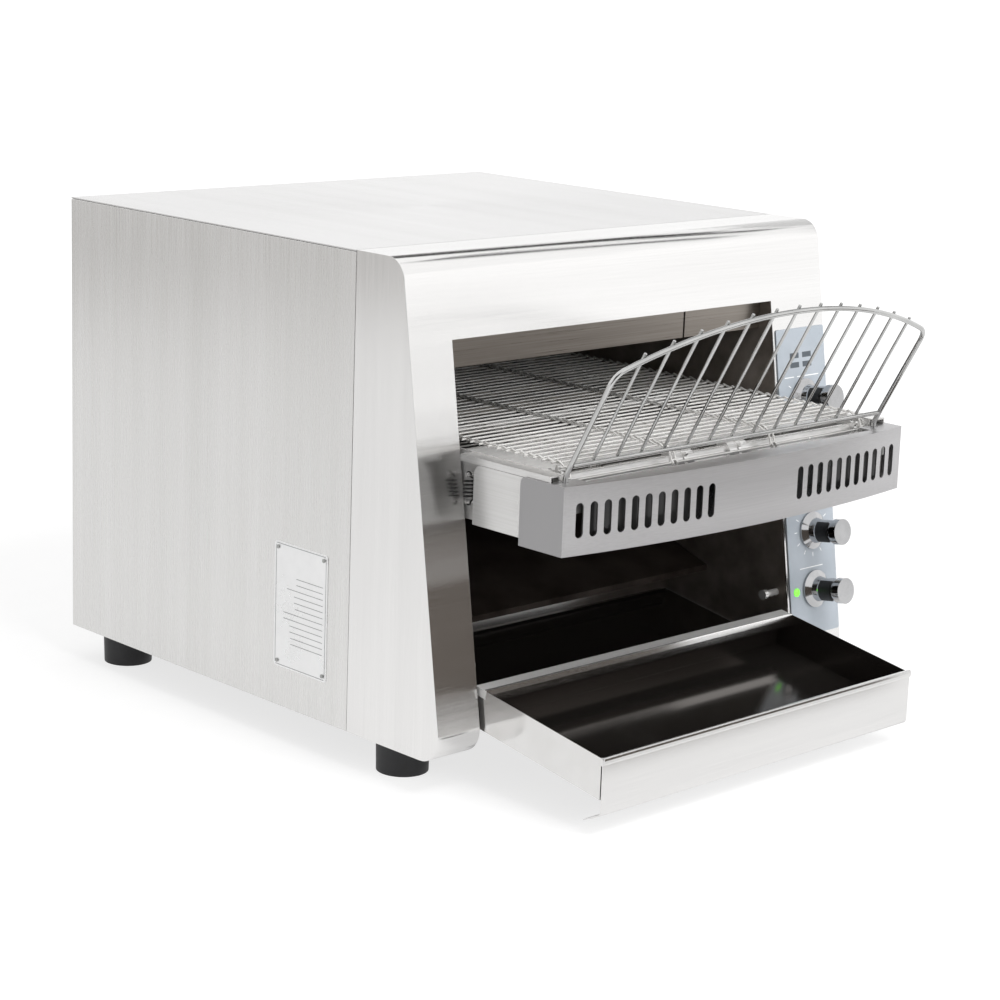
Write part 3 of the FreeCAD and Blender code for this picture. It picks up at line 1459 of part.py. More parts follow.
# Shelf that carries the tray: a plate between the walls, with side flanges and a stop at the back
shelf = new_body("tray_shelf")
shelf_ends = (across(-1, "seat_gap"), across(1, "seat_gap"))
slab(shelf, "Z", rectangle(shelf_ends, ("shelf_start", "shelf_end")), "0 - seat_gap - sheet", "0 - seat_gap")
for side in (-1, 1):
    flange = across_span(side, "seat_gap", "seat_gap + sheet")
    slab(shelf, "Z", rectangle(flange, ("shelf_start + shelf_flange_setback", "shelf_end")),
         "0 - seat_gap - sheet - shelf_side_flange", "0 - seat_gap")
slab(shelf, "Z", rectangle(shelf_ends, ("shelf_end - sheet", "shelf_end")),
     "0 - seat_gap - sheet", "shelf_upstand")
stand(shelf, tray_place, X_AXIS, "tray_slope_angle")

# Guide pins in the walls, which keep the back of the drawn tray from tipping up
pins = []
for name, side in SIDES.items():
    centre = ("pin_y", "pin_z")
    length = name + "_pin_length"
    stem = rod("pin", "X", centre, "pin_radius", *across_span(side, "seat_gap", length))
    head = rod("pin", "X", centre, "pin_head_radius", *across_span(side, length + " - pin_head", length))
    pins.append(joined([stem, head]))
group("tray_guide_pins", pins)


def on_face(piece):
    """Stand a piece in the frame of the leaning face: Z up the face, Y inwards from its skin."""
    stand(piece, ("0", "face_bottom_y", "floor_z"), X_AXIS * -1, "front_lean_angle")


def along_face(rise):
    return "(%s) / cos(front_lean_angle)" % rise


# Control panel, a thin plate on the leaning face of the right column
panel = new_body("control_panel")
slab(panel, "Y", rectangle(("panel_left_x", "panel_right_x"), ("panel_foot", "panel_end")),
     "0 - seat_gap - panel_plate", "0 - seat_gap")
for x in ("panel_left_x", "panel_right_x"):
    for level in ("panel_foot", "panel_end"):
        round_edges(panel, "panel_round", centred_at(x=x, z=level))
for rise in KNOB_RISES.values():
    bore(panel, "Y", ("knob_x", along_face(rise)), "spindle_radius + spindle_clearance",
         "0 - seat_gap - panel_plate - overrun", "overrun")
bore(panel, "Y", ("lamp_x", along_face("power_knob_rise")), "lamp_radius + lamp_clearance",
     "0 - seat_gap - panel_plate - overrun", "overrun")
on_face(panel)

# Rotary switches behind the panel, each with the bore that takes its knob's spindle
switches = []
for rise in KNOB_RISES.values():
    level = along_face(rise)
    switch = box("switch", ("knob_x - switch_size / 2", "knob_x + switch_size / 2"),
                 ("sheet + seat_gap", "sheet + seat_gap + switch_depth"),
                 (level + " - switch_size / 2", level + " + switch_size / 2"))
    hole = rod("switch", "Y", ("knob_x", level), "spindle_radius + running_gap", "0",
               "sheet + seat_gap + spindle_length")
    switches.append(without(switch, [hole]))
on_face(group("rotary_switches", switches))


def on_knob_axis(piece, x, rise, offset):
    """Stand a piece square to the leaning face, its Z axis outwards."""
    stand(piece, (
        x,
        "face_bottom_y + (%s) * lean_rise - (%s) * cos(front_lean_angle)" % (rise, offset),
        "floor_z + (%s) + (%s) * sin(front_lean_angle)" % (rise, offset),
    ), X_AXIS, "90 - front_lean_angle")


# Knobs: a bell-shaped skirt, a barrel and a wider cap, with a pair of grips on the barrel
for name, rise in KNOB_RISES.items():
    knob = new_body(name + "_knob")
    turned(knob, [
        ("0", "0 - spindle_length"),
        ("spindle_radius", "0 - spindle_length"),
        ("spindle_radius", "0"),
        ("knob_skirt_radius", "0"),
        ("knob_skirt_radius", "knob_skirt_rim"),
        ("knob_barrel_radius + knob_skirt_rim", "knob_skirt_height / 2"),
        ("knob_barrel_radius", "knob_skirt_height"),
        ("knob_barrel_radius", "knob_barrel_end"),
        ("knob_cap_radius", "knob_cap_start"),
        ("knob_cap_radius", "knob_length"),
        ("0", "knob_length"),
    ])
    on_knob_axis(knob, "knob_x", rise, "knob_offset")
    grips = []
    for start in ("0 - grip_arc_angle / 2", "180 - grip_arc_angle / 2"):
        grip = document.addObject("Part::Cylinder", "grip_piece")
        grip.setExpression("Angle", bound("grip_arc_angle"))
        grip.Placement = FreeCAD.Placement(ORIGIN, FreeCAD.Rotation(Z_AXIS, FIRST_ANGLE))
        grip.setExpression("Placement.Rotation.Angle", bound(start))
        grip.setExpression("Radius", bound("knob_barrel_radius + grip_proud"))
        grip.setExpression("Height", bound("grip_end - grip_start"))
        grip.setExpression("Placement.Base.z", bound("grip_start"))
        core = rod("grip", "Z", ("0", "0"), "knob_barrel_radius + running_gap", "0", "knob_length")
        grips.append(without(grip, [core]))
    on_knob_axis(group(name + "_knob_grips", grips), "knob_x", rise, "knob_offset")

# Indicator lamp
lamp = new_body("indicator_lamp")
turned(lamp, [
    ("0", "0 - lamp_depth"),
    ("lamp_radius", "0 - lamp_depth"),
    ("lamp_radius", "lamp_proud / 2"),
    ("lamp_radius * lamp_top_share", "lamp_proud"),
    ("0", "lamp_proud"),
])
on_knob_axis(lamp, "lamp_x", "power_knob_rise", "seat_gap + panel_plate")

# Rating plate and its rivets on the left side
badge = new_body("rating_plate")
slab(badge, "X", rectangle(("plate_y", "plate_far_y"), ("plate_z", "plate_top_z")),
     "plate_x - plate_thickness", "plate_x")
for y in ("plate_y", "plate_far_y"):
    for z in ("plate_z", "plate_top_z"):
        round_edges(badge, "plate_corner_radius", centred_at(y=y, z=z))
rivets = []
for y in ("plate_y + rivet_inset", "plate_far_y - rivet_inset"):
    for z in ("plate_z + rivet_inset", "plate_top_z - rivet_inset"):
        rivets.append(rod("rivet", "X", (y, z), "rivet_radius",
                          "plate_x - plate_thickness - running_gap - rivet_height",
                          "plate_x - plate_thickness - running_gap"))
group("plate_rivets", rivets)


def chain_wheel(name, teeth, pitch_radius, y, z):
    """A toothed wheel of the drive, about the shaft that its place names."""
    wheel = new_body(name)
    root = "%s - chain_height / 2 - chain_gap - chain_tooth_height" % pitch_radius
    tip = "%s - chain_height / 2 - chain_gap" % pitch_radius
    faces = ("chain_x - chain_wheel_thickness / 2", "chain_x + chain_wheel_thickness / 2")
    disc(wheel, "X", ("0", "0"), root, *faces)
    tooth = slab(wheel, "X", [
        ("0 - chain_tooth_root / 2", root + " - chain_tooth_height / 2"),
        ("chain_tooth_root / 2", root + " - chain_tooth_height / 2"),
        ("chain_tooth_tip / 2", tip),
        ("0 - chain_tooth_tip / 2", tip),
    ], *faces)
    repeat_round(wheel, [tooth], "X", teeth)
    stand(wheel, ("0", y, z))
    return wheel


# Drive: the driven wheel on the rear shaft, the motor's wheel with its shaft, and the chain
driven = chain_wheel("driven_chain_sprocket", DRIVEN_CHAIN_TEETH, "driven_pitch_radius", "rear_shaft_y", "shaft_z")
disc(driven, "X", ("0", "0"), "chain_hub_radius", "chain_x - chain_hub_length", "chain_x")
bore(driven, "X", ("0", "0"), "shaft_radius + running_gap",
     "chain_x - chain_hub_length - overrun", "chain_x + overrun")
motor_wheel = chain_wheel("motor_sprocket", MOTOR_CHAIN_TEETH, "motor_pitch_radius", "motor_y", "motor_z")
disc(motor_wheel, "X", ("0", "0"), "motor_shaft_radius", "chain_x", "gearbox_x + motor_shaft_reach")

upper_hub = FreeCAD.Vector(0, size("rear_shaft_y"), size("shaft_z"))
lower_hub = FreeCAD.Vector(0, size("motor_y"), size("motor_z"))


def chain_face(grow):
    """The flat loop round both wheels, at the pitch line or off it by the given growth."""
    big = size("driven_pitch_radius") + grow
    small = size("motor_pitch_radius") + grow
    line = lower_hub - upper_hub
    heading = math.atan2(line.z, line.y)
    spread = math.acos((big - small) / line.Length)

    def rim(hub, radius, angle):
        return hub + FreeCAD.Vector(0, radius * math.cos(angle), radius * math.sin(angle))

    first = (rim(upper_hub, big, heading + spread), rim(lower_hub, small, heading + spread))
    second = (rim(upper_hub, big, heading - spread), rim(lower_hub, small, heading - spread))
    edges = [
        Part.Arc(first[0], rim(upper_hub, big, heading + math.pi), second[0]).toShape(),
        Part.LineSegment(second[0], second[1]).toShape(),
        Part.Arc(second[1], rim(lower_hub, small, heading), first[1]).toShape(),
        Part.LineSegment(first[1], first[0]).toShape(),
    ]
    return Part.Face(Part.Wire(edges))


half_chain = size("chain_height") / 2
chain_loop = chain_face(half_chain).cut(chain_face(-half_chain))
chain_solid = chain_loop.extrude(X_AXIS * size("chain_width"))
chain_solid.translate(X_AXIS * (size("chain_x") - size("chain_width") / 2))
shaped("drive_chain", chain_solid)

# Gearmotor on its bracket
gearmotor = new_body("gearmotor")
box_y = ("motor_y - gearbox_depth / 2", "motor_y + gearbox_depth / 2")
box_z = ("motor_z - gearbox_height / 2", "motor_z + gearbox_height / 2")
slab(gearmotor, "X", rectangle(box_y, box_z), "gearbox_x", "gearbox_x + gearbox_width")
disc(gearmotor, "Y", ("gearbox_x + gearbox_width / 2", "motor_z"), "motor_radius",
     box_y[0] + " - motor_length", box_y[0] + " + overrun")
bore(gearmotor, "X", ("motor_y", "motor_z"), "motor_shaft_radius + running_gap",
     "gearbox_x - overrun", "gearbox_x + motor_shaft_reach + seat_gap")
bracket = new_body("motor_bracket")
slab(bracket, "X", rectangle((box_y[0] + " - bracket_margin", box_y[1] + " + bracket_margin"),
                             ("pan_top_z + seat_gap", box_z[1] + " + bracket_margin")),
     "bracket_x", "bracket_x + bracket_sheet")
slab(bracket, "X", rectangle((box_y[0] + " - bracket_margin", box_y[1] + " + bracket_margin"),
                             ("pan_top_z + seat_gap", "pan_top_z + seat_gap + bracket_sheet")),
     "bracket_x", "bracket_x + bracket_foot")
bore(bracket, "X", ("motor_y", "motor_z"), "motor_shaft_radius + 2 * spindle_clearance",
     "bracket_x - overrun", "bracket_x + bracket_sheet + overrun")

# Cooling fan on the rear cover
fan = new_body("fan_frame")
fan_front_y = "fan_rear_y - fan_depth"
slab(fan, "Y", rectangle(("fan_x - fan_size / 2", "fan_x + fan_size / 2"),
                         ("fan_z - fan_size / 2", "fan_z + fan_size / 2")), fan_front_y, "fan_rear_y")
bore(fan, "Y", ("fan_x", "fan_z"), "fan_bore_radius", fan_front_y + " - overrun", "fan_rear_y + overrun")
impeller = new_body("fan_impeller")
impeller_depth = "(fan_depth - 2 * fan_side_gap)"
disc(impeller, "Y", ("0", "0"), "fan_hub_radius", "0", impeller_depth)
blade = slab(impeller, "Y", rectangle(
    ("0 - fan_blade_thickness / 2", "fan_blade_thickness / 2"),
    ("fan_hub_radius - fan_blade_thickness", "fan_bore_radius - fan_tip_gap"),
), "0", impeller_depth)
repeat_round(impeller, [blade], "Y", FAN_BLADES)
stand(impeller, ("fan_x", fan_front_y + " + fan_side_gap", "fan_z"))

# Cord gland in the rear cover
gland = new_body("cord_gland")
disc(gland, "Y", ("gland_x", "gland_z"), "gland_radius",
     "cover_y + sheet - gland_length", "cover_y + sheet + running_gap + gland_flange")
disc(gland, "Y", ("gland_x", "gland_z"), "gland_flange_radius",
     "cover_y + sheet + running_gap", "cover_y + sheet + running_gap + gland_flange")
bore(gland, "Y", ("gland_x", "gland_z"), "gland_bore_radius",
     "cover_y - gland_length - overrun", "cover_y + gland_length + overrun")

# Control board on the chamber's right wall, on four posts
board = new_body("control_board")
board_span = ("board_x + board_post", "board_x + board_post + board_thickness")
slab(board, "X", rectangle(("board_y", "board_y + board_length"), ("board_z", "board_z + board_height")),
     *board_span)
for y in ("board_y + board_post_inset", "board_y + board_length - board_post_inset"):
    for z in ("board_z + board_post_inset", "board_z + board_height - board_post_inset"):
        disc(board, "X", (y, z), "board_post_radius", "board_x + seat_gap", "board_x + board_post")
for index in range(3):
    first_y = "board_y + 2 * board_post_inset + %d * relay_pitch" % index
    slab(board, "X", rectangle((first_y, first_y + " + relay_size"),
                               ("board_z + 2 * board_post_inset", "board_z + 2 * board_post_inset + relay_size")),
         board_span[1], board_span[1] + " + relay_size")

# Terminal block on the base pan
terminal = new_body("terminal_block")
terminal_y = ("pan_rear_y - terminal_setback - terminal_length", "pan_rear_y - terminal_setback")
terminal_x = ("half_width - 2 * panel_flange - terminal_width", "half_width - 2 * panel_flange")
slab(terminal, "Z", rectangle(terminal_x, terminal_y), "pan_top_z + seat_gap",
     "pan_top_z + seat_gap + terminal_height")
notch = recess(terminal, "Z", rectangle(
    (terminal_x[0] + " - overrun", terminal_x[0] + " + terminal_slot"),
    (terminal_y[0] + " + terminal_slot", terminal_y[0] + " + 2 * terminal_slot"),
), "pan_top_z + seat_gap + terminal_height / 2", "pan_top_z + seat_gap + terminal_height + overrun")
repeat(terminal, [notch], "Y", "terminal_pitch", 4)


def check_model():
    """Stop if any object failed, any cut removed nothing, or any shape is not sound."""
    document.recompute()
    for thing in document.Objects:
        if "Invalid" in thing.State or "Error" in thing.State:
            raise ValueError("failed: %s %s" % (thing.Label, thing.State))
        if thing.TypeId == "PartDesign::Pocket":
            if thing.Shape.Volume >= thing.BaseFeature.Shape.Volume:
                raise ValueError("a cut removed nothing: " + thing.Label)
    for node in nodes:
        if node.Shape.isNull() or not node.Shape.isValid():
            raise ValueError("not a sound shape: " + node.Label)


check_model()
os.makedirs("parts", exist_ok=True)
for node in nodes:
    node.Shape.exportStep("parts/" + node.Label + ".step")
print("%d parts written" % len(nodes))
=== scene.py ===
import math

import bpy
import numpy as np
from mathutils import Matrix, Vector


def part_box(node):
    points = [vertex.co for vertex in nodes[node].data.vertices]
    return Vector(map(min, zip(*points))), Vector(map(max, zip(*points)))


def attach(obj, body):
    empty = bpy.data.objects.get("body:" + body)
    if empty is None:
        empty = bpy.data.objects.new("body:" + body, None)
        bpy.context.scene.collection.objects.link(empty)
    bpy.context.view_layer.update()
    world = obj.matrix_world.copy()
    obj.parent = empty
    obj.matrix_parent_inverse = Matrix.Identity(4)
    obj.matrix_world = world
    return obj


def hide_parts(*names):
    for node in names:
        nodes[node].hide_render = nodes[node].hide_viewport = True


# Conveyor toaster in brushed stainless steel: the looks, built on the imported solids. Metres.

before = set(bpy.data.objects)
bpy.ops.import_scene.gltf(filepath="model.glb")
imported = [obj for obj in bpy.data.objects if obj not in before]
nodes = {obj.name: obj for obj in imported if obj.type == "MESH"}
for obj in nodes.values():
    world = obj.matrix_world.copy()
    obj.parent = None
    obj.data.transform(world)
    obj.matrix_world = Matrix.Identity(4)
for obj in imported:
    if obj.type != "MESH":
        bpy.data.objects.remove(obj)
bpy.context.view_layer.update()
MM = 0.001


# The photograph's camera

LENS = 91.54
SENSOR = 36.0
NEAREST = 0.05
FARTHEST = 60.0
CAMERA_PLACE = np.array([-1455.55, -1584.42, 659.23]) * MM
YAW, PITCH, ROLL = math.radians(43.938), math.radians(13.216), math.radians(2.053)


def camera_turn():
    """Axes of a camera that looks YAW from +Y towards +X, PITCH below the horizon, turned by ROLL."""
    ahead = np.array([math.sin(YAW) * math.cos(PITCH), math.cos(YAW) * math.cos(PITCH),
                      -math.sin(PITCH)])
    level = np.cross(ahead, [0.0, 0.0, 1.0])
    level /= np.linalg.norm(level)
    upright = np.cross(level, ahead)
    right = math.cos(ROLL) * level + math.sin(ROLL) * upright
    up = -math.sin(ROLL) * level + math.cos(ROLL) * upright
    return right, up, -ahead


camera_data = bpy.data.cameras.new("studio_camera")
camera_data.lens = LENS
camera_data.sensor_width = SENSOR
camera_data.clip_start = NEAREST
camera_data.clip_end = FARTHEST
camera = bpy.data.objects.new("studio_camera", camera_data)
bpy.context.scene.collection.objects.link(camera)
pose = np.eye(4)
pose[:3, 0], pose[:3, 1], pose[:3, 2] = camera_turn()
pose[:3, 3] = CAMERA_PLACE
camera.matrix_world = Matrix(pose.tolist())
bpy.context.scene.camera = camera
bpy.context.scene.view_settings.view_transform = "Standard"


# Materials: one function for colours, one for nodes, then a maker for each family of finish

def linear(hex_colour):
    """An sRGB hex colour as linear RGBA: c / 12.92 below 0.04045, else ((c + 0.055) / 1.055) ^ 2.4."""
    parts = [int(hex_colour[i:i + 2], 16) / 255 for i in (1, 3, 5)]
    return tuple(c / 12.92 if c <= 0.04045 else ((c + 0.055) / 1.055) ** 2.4 for c in parts) + (1.0,)


def add_node(tree, kind, settings=None, inputs=None, stops=()):
    """A shader node with its settings, its inputs set to values or linked to sockets, and the
    (place, colour) stops of its ramp."""
    made = tree.nodes.new(kind)
    for name, value in (settings or {}).items():
        setattr(made, name, value)
    for name, value in (inputs or {}).items():
        if isinstance(value, bpy.types.NodeSocket):
            tree.links.new(value, made.inputs[name])
        else:
            made.inputs[name].default_value = value
    for element, (place, colour) in zip(made.color_ramp.elements if stops else (), stops):
        element.position, element.color = place, linear(colour)
    return made


def blank_material(name):
    """A material with an output node, and the Object coordinates that every pattern is drawn on."""
    material = bpy.data.materials.new(name)
    material.use_nodes = True
    tree = material.node_tree
    tree.nodes.clear()
    output = add_node(tree, "ShaderNodeOutputMaterial")
    coordinates = add_node(tree, "ShaderNodeTexCoord").outputs["Object"]
    return material, tree, output, coordinates


# The usual limits of a noise texture
NOISE = {"From Min": 0.3, "From Max": 0.7}

# Brushing: the real scratches are near 0.1 mm wide, drawn coarser here so that they show
SCRATCH_LENGTH = 90.0 * MM
SCRATCH_WIDTH = 0.9 * MM
SCRATCH_DEPTH = 0.006 * MM
BAND_LENGTH = 1100.0 * MM
BAND_WIDTH = 26.0 * MM
SIDE_LIMIT = 0.35


def grain(tree, place, along):
    """Fine scratches along one axis, and the faint, wide bands of the rolled sheet under them: noise on
    coordinates divided by a length along that axis and by a width along the other two."""
    noises = []
    for length, width, detail in ((SCRATCH_LENGTH, SCRATCH_WIDTH, 3.0), (BAND_LENGTH, BAND_WIDTH, 2.0)):
        stretched = add_node(tree, "ShaderNodeMapping", inputs={
            "Vector": place, "Scale": tuple(1 / (length if axis == along else width) for axis in "XYZ")})
        noises.append(add_node(tree, "ShaderNodeTexNoise", inputs={
            "Vector": stretched.outputs["Vector"], "Scale": 1.0, "Detail": detail,
            "Roughness": 0.6}).outputs["Fac"])
    return noises


# The crumb tray, measured along its slope and square to it from its front corner
TRAY_INSIDE_LEFT = -189.3 * MM
TRAY_INSIDE_RIGHT = 165.8 * MM
TRAY_PLACE = np.array([0.0, -385.5, 29.7]) * MM
TRAY_SLOPE = math.radians(9.0)
ALONG_TRAY = np.array([0.0, math.cos(TRAY_SLOPE), math.sin(TRAY_SLOPE)])
UP_FROM_TRAY = np.array([0.0, -math.sin(TRAY_SLOPE), math.cos(TRAY_SLOPE)])
LEDGE_START = 128.6 * MM
LEDGE_END = 142.0 * MM
LEDGE_FOOT = 25.0 * MM
UPSTAND_START = 274.2 * MM


def where_all(tree, *masks):
    """1 where every mask is 1, and 0 elsewhere."""
    both = masks[0]
    for mask in masks[1:]:
        both = add_node(tree, "ShaderNodeMath", {"operation": "MULTIPLY"}, {0: both, 1: mask}).outputs[0]
    return both


def past(tree, place, way, limit):
    """1 past a limit, measured along a direction of the sloping tray from its front corner."""
    travel = add_node(tree, "ShaderNodeVectorMath", {"operation": "DOT_PRODUCT"}, {0: place, 1: way})
    return add_node(tree, "ShaderNodeMath", {"operation": "GREATER_THAN"}, {
        0: travel.outputs["Value"], 1: float(np.dot(way, TRAY_PLACE)) + limit}).outputs[0]


def rims_outside_shade(tree, place):
    """1 on the tray's turned-in ledge and on the shelf's upstand, which are kept out of the painted shade."""
    before = add_node(tree, "ShaderNodeMath", {"operation": "SUBTRACT"}, {
        0: 1.0, 1: past(tree, place, ALONG_TRAY, LEDGE_END)}).outputs[0]
    ledge = where_all(tree, past(tree, place, ALONG_TRAY, LEDGE_START), before,
                      past(tree, place, UP_FROM_TRAY, LEDGE_FOOT))
    return add_node(tree, "ShaderNodeMath", {"operation": "MAXIMUM"}, {
        0: ledge, 1: past(tree, place, ALONG_TRAY, UPSTAND_START)}).outputs[0]


def shaded_inside_mask(tree, place, rims):
    """1 inside the tray and on the shelf behind it, under the machine, where the steel is darkened by a painted
    shade.
    """
    x = add_node(tree, "ShaderNodeSeparateXYZ", inputs={"Vector": place}).outputs["X"]
    walls = [add_node(tree, "ShaderNodeMath", {"operation": side}, {0: x, 1: limit}).outputs[0]
             for side, limit in (("GREATER_THAN", TRAY_INSIDE_LEFT), ("LESS_THAN", TRAY_INSIDE_RIGHT))]
    clean = add_node(tree, "ShaderNodeMath", {"operation": "SUBTRACT"}, {0: 1.0, 1: rims}).outputs[0]
    return where_all(tree, *walls, clean)


def brushed_steel(name, along, light, dark, roughness=0.24, anisotropic=0.3, side_along=None, side_painted_shade=None,
                  swing=0.03, metallic=1.0, painted_shade_inside=False):
    """Stainless sheet, brushed along one axis with a fine belt, and along side_along where it faces X,
    where it may take a darker colour of its own, a painted shade. The scratches carry small changes of
    tone and of gloss, over broad, faint bands of the rolled sheet."""
    material, tree, output, place = blank_material(name)
    scratches, bands = grain(tree, place, along)
    if side_along:
        normal = add_node(tree, "ShaderNodeTexCoord").outputs["Normal"]
        sideways = add_node(tree, "ShaderNodeSeparateXYZ", inputs={"Vector": normal}).outputs["X"]
        facing = add_node(tree, "ShaderNodeMath", {"operation": "COMPARE"}, {
            0: add_node(tree, "ShaderNodeMath", {"operation": "ABSOLUTE"}, {0: sideways}).outputs[0],
            1: 1.0, 2: SIDE_LIMIT}).outputs[0]
        scratches, bands = [
            add_node(tree, "ShaderNodeMapRange", inputs={
                "Value": facing, "To Min": front, "To Max": side}).outputs["Result"]
            for front, side in zip((scratches, bands), grain(tree, place, side_along))]
    half_bands = add_node(tree, "ShaderNodeMath", {"operation": "MULTIPLY"}, {0: bands, 1: 0.5}).outputs[0]
    both = add_node(tree, "ShaderNodeMath", {"operation": "MULTIPLY_ADD"}, {
        0: scratches, 1: 0.5, 2: half_bands}).outputs[0]
    colour = add_node(tree, "ShaderNodeValToRGB", inputs={"Fac": both},
                      stops=((0.30, dark), (0.70, light))).outputs["Color"]
    # Faces towards X may take a darker colour here: a painted shade
    if side_painted_shade:
        colour = add_node(tree, "ShaderNodeMix", {"data_type": "RGBA"}, {
            0: facing, 6: colour, 7: linear(side_painted_shade)}).outputs[2]
    bump = add_node(tree, "ShaderNodeBump", inputs={
        "Strength": 0.25, "Distance": SCRATCH_DEPTH, "Height": scratches}).outputs["Normal"]
    tangent = add_node(tree, "ShaderNodeTangent", {"direction_type": "RADIAL", "axis": "Z"}).outputs["Tangent"]
    gloss = add_node(tree, "ShaderNodeMapRange", inputs={
        "Value": scratches, **NOISE, "To Min": roughness - swing,
        "To Max": roughness + swing}).outputs["Result"]
    if painted_shade_inside:
        rims = rims_outside_shade(tree, place)
        # Painted shade: the steel inside the tray and on the shelf is darkened to #5E5955
        colour = add_node(tree, "ShaderNodeMix", {"data_type": "RGBA"}, {
            0: shaded_inside_mask(tree, place, rims), 6: colour, 7: linear("#5E5955")}).outputs[2]
        metallic = add_node(tree, "ShaderNodeMapRange", inputs={
            "Value": rims, "To Min": 0.88, "To Max": 0.2}).outputs["Result"]
        gloss = add_node(tree, "ShaderNodeMapRange", inputs={
            "Value": rims, "To Min": gloss, "To Max": 0.35}).outputs["Result"]
    shader = add_node(tree, "ShaderNodeBsdfPrincipled", inputs={
        "Base Color": colour, "Metallic": metallic, "Anisotropic": anisotropic,
        "Roughness": gloss, "Normal": bump, "Tangent": tangent})
    tree.links.new(shader.outputs[0], output.inputs["Surface"])
    return material


SPOT_SIZE = 35.0 * MM


def mottled(name, light, dark, roughness, metallic=0.0, grit=1.5, depth=0.02, swing=0.06, coat=0.0, ior=1.5):
    """A cast, moulded, coated or plain surface: tone and gloss vary in soft spots, over a fine grit whose
    size and depth are in millimetres."""
    material, tree, output, place = blank_material(name)
    spots = add_node(tree, "ShaderNodeTexNoise", inputs={
        "Vector": place, "Scale": 1 / SPOT_SIZE, "Detail": 5.0, "Roughness": 0.6}).outputs["Fac"]
    grains = add_node(tree, "ShaderNodeTexNoise", inputs={
        "Vector": place, "Scale": 1 / (grit * MM), "Detail": 2.0}).outputs["Fac"]
    colour = add_node(tree, "ShaderNodeValToRGB", inputs={"Fac": spots},
                      stops=((0.32, dark), (0.68, light))).outputs["Color"]
    bump = add_node(tree, "ShaderNodeBump", inputs={
        "Strength": 0.4, "Distance": depth * MM, "Height": grains}).outputs["Normal"]
    gloss = add_node(tree, "ShaderNodeMapRange", inputs={
        "Value": spots, **NOISE, "To Min": roughness - swing,
        "To Max": roughness + swing}).outputs["Result"]
    inputs = {"Base Color": colour, "Metallic": metallic, "Coat Weight": coat,
              "Roughness": gloss, "Normal": bump}
    if not metallic:
        inputs["IOR"] = ior
    shader = add_node(tree, "ShaderNodeBsdfPrincipled", inputs=inputs)
    tree.links.new(shader.outputs[0], output.inputs["Surface"])
    return material


# Ferritic stainless sheet, brushed upright with a fine belt: soft, silvery white walls with fine lines
brushed_upright = brushed_steel("stainless_brushed_upright", "Z", "#EDECEB", "#E1E0DE", 0.27)
# The same sheet, finished brighter: a nearly white face that mirrors dark shapes low down, lines across it
brushed_across = brushed_steel("stainless_brushed_across", "X", "#F6F5F4", "#ECEBEA", 0.20, side_along="Z")
# The top sheet, brushed from front to back: pale, with long faint streaks
brushed_back = brushed_steel("stainless_brushed_lengthwise", "Y", "#E3E2E2", "#D9D8D7", 0.22)
# Bead-blasted and lightly brushed apron: a mid grey satin, its folded wings darkened by a painted shade
apron_steel = brushed_steel("stainless_satin_apron", "X", "#D6D5D6", "#C4C3C4", 0.36, side_along="Z",
                            side_painted_shade="#A9A8A9")
# Stainless tinted by heat over the opening: warm, dull grey with lines across
baffle_steel = brushed_steel("stainless_heat_tinted", "X", "#AFA8A1", "#908982", 0.30)
# Satin folded rails: pale and even, with a broad sheen
rail_steel = brushed_steel("stainless_satin_rail", "Y", "#ECEBEA", "#DAD9D7", 0.24, metallic=0.6)
# Polished tray, darkened inside and on the shelf by a painted shade: clear, dark mirrored shapes within, white
# walls outside
tray_steel = brushed_steel("stainless_polished_tray", "X", "#EDECEB", "#E2E1DF", 0.11, anisotropic=0.2,
                           swing=0.02, painted_shade_inside=True)
# Brushed tray front: nearly white, with faint lines across
front_steel = brushed_steel("stainless_brushed_tray_front", "X", "#F1F0EF", "#E4E3E2", 0.24)
# Folded lips, paler than the tray steel, a painted highlight: thin bright lines in the dark cavity
lip_steel = brushed_steel("stainless_lip_painted_bright", "X", "#FBFAF9", "#F1F0EF", 0.16)
# Bright plate under the belt: a pale glow between the wires
bed_steel = brushed_steel("stainless_bright_bed", "Y", "#F0EFEE", "#DEDDDB", 0.35, metallic=0.35)
# Chamber walls: cloudy brown grey with a dull shine, darker than the sheet outside
wall_steel = mottled("stainless_cloudy_brown_grey", "#8F8780", "#6A625B", 0.36, metallic=0.6)
# Sheet inside the chamber, coloured almost black with brown clouds: a painted shade for the dark inside
cavity_steel = mottled("stainless_painted_dark_inside", "#4A433E", "#2C2622", 0.34, metallic=0.5)
# Chromed guard wire: hard highlights beside dark lines
wire_chrome = mottled("chromed_wire", "#CFCFCE", "#B9B9B8", 0.11, metallic=1.0, swing=0.03)
# Bright drawn belt wire: pale strands that read against the dark chamber
belt_chrome = mottled("bright_drawn_wire", "#F8F7F5", "#DDDBD8", 0.24, metallic=0.55, swing=0.05)
# Ground steel shafts and wheels: pale, soft highlights
shaft_steel = mottled("ground_shaft_steel", "#F0EFEE", "#DDDCDA", 0.20, metallic=0.7)
# Chromed zinc knobs: clear reflections, a little darker than the panel
knob_chrome = mottled("chromed_knob", "#CBCBCC", "#B4B4B5", 0.10, metallic=1.0, swing=0.02)
# Zinc-plated brackets and screws: dull, cool grey
zinc_plate = mottled("zinc_plated_steel", "#B9BAB8", "#999A99", 0.36, metallic=1.0)
# Moulded rubber feet: soft black with a fine grit
foot_rubber = mottled("moulded_black_rubber", "#2A2A2C", "#19191B", 0.55, grit=0.6, depth=0.05, ior=1.52)
# Ribbed rubber knob grips: deeper black, a dull sheen on the ribs
grip_rubber = mottled("ribbed_black_grip", "#1C1C1D", "#0E0E0F", 0.42, grit=0.5, depth=0.04)
# Moulded ABS fan and switches: even, slightly shiny black
black_plastic = mottled("moulded_black_plastic", "#242424", "#161616", 0.48, ior=1.53)
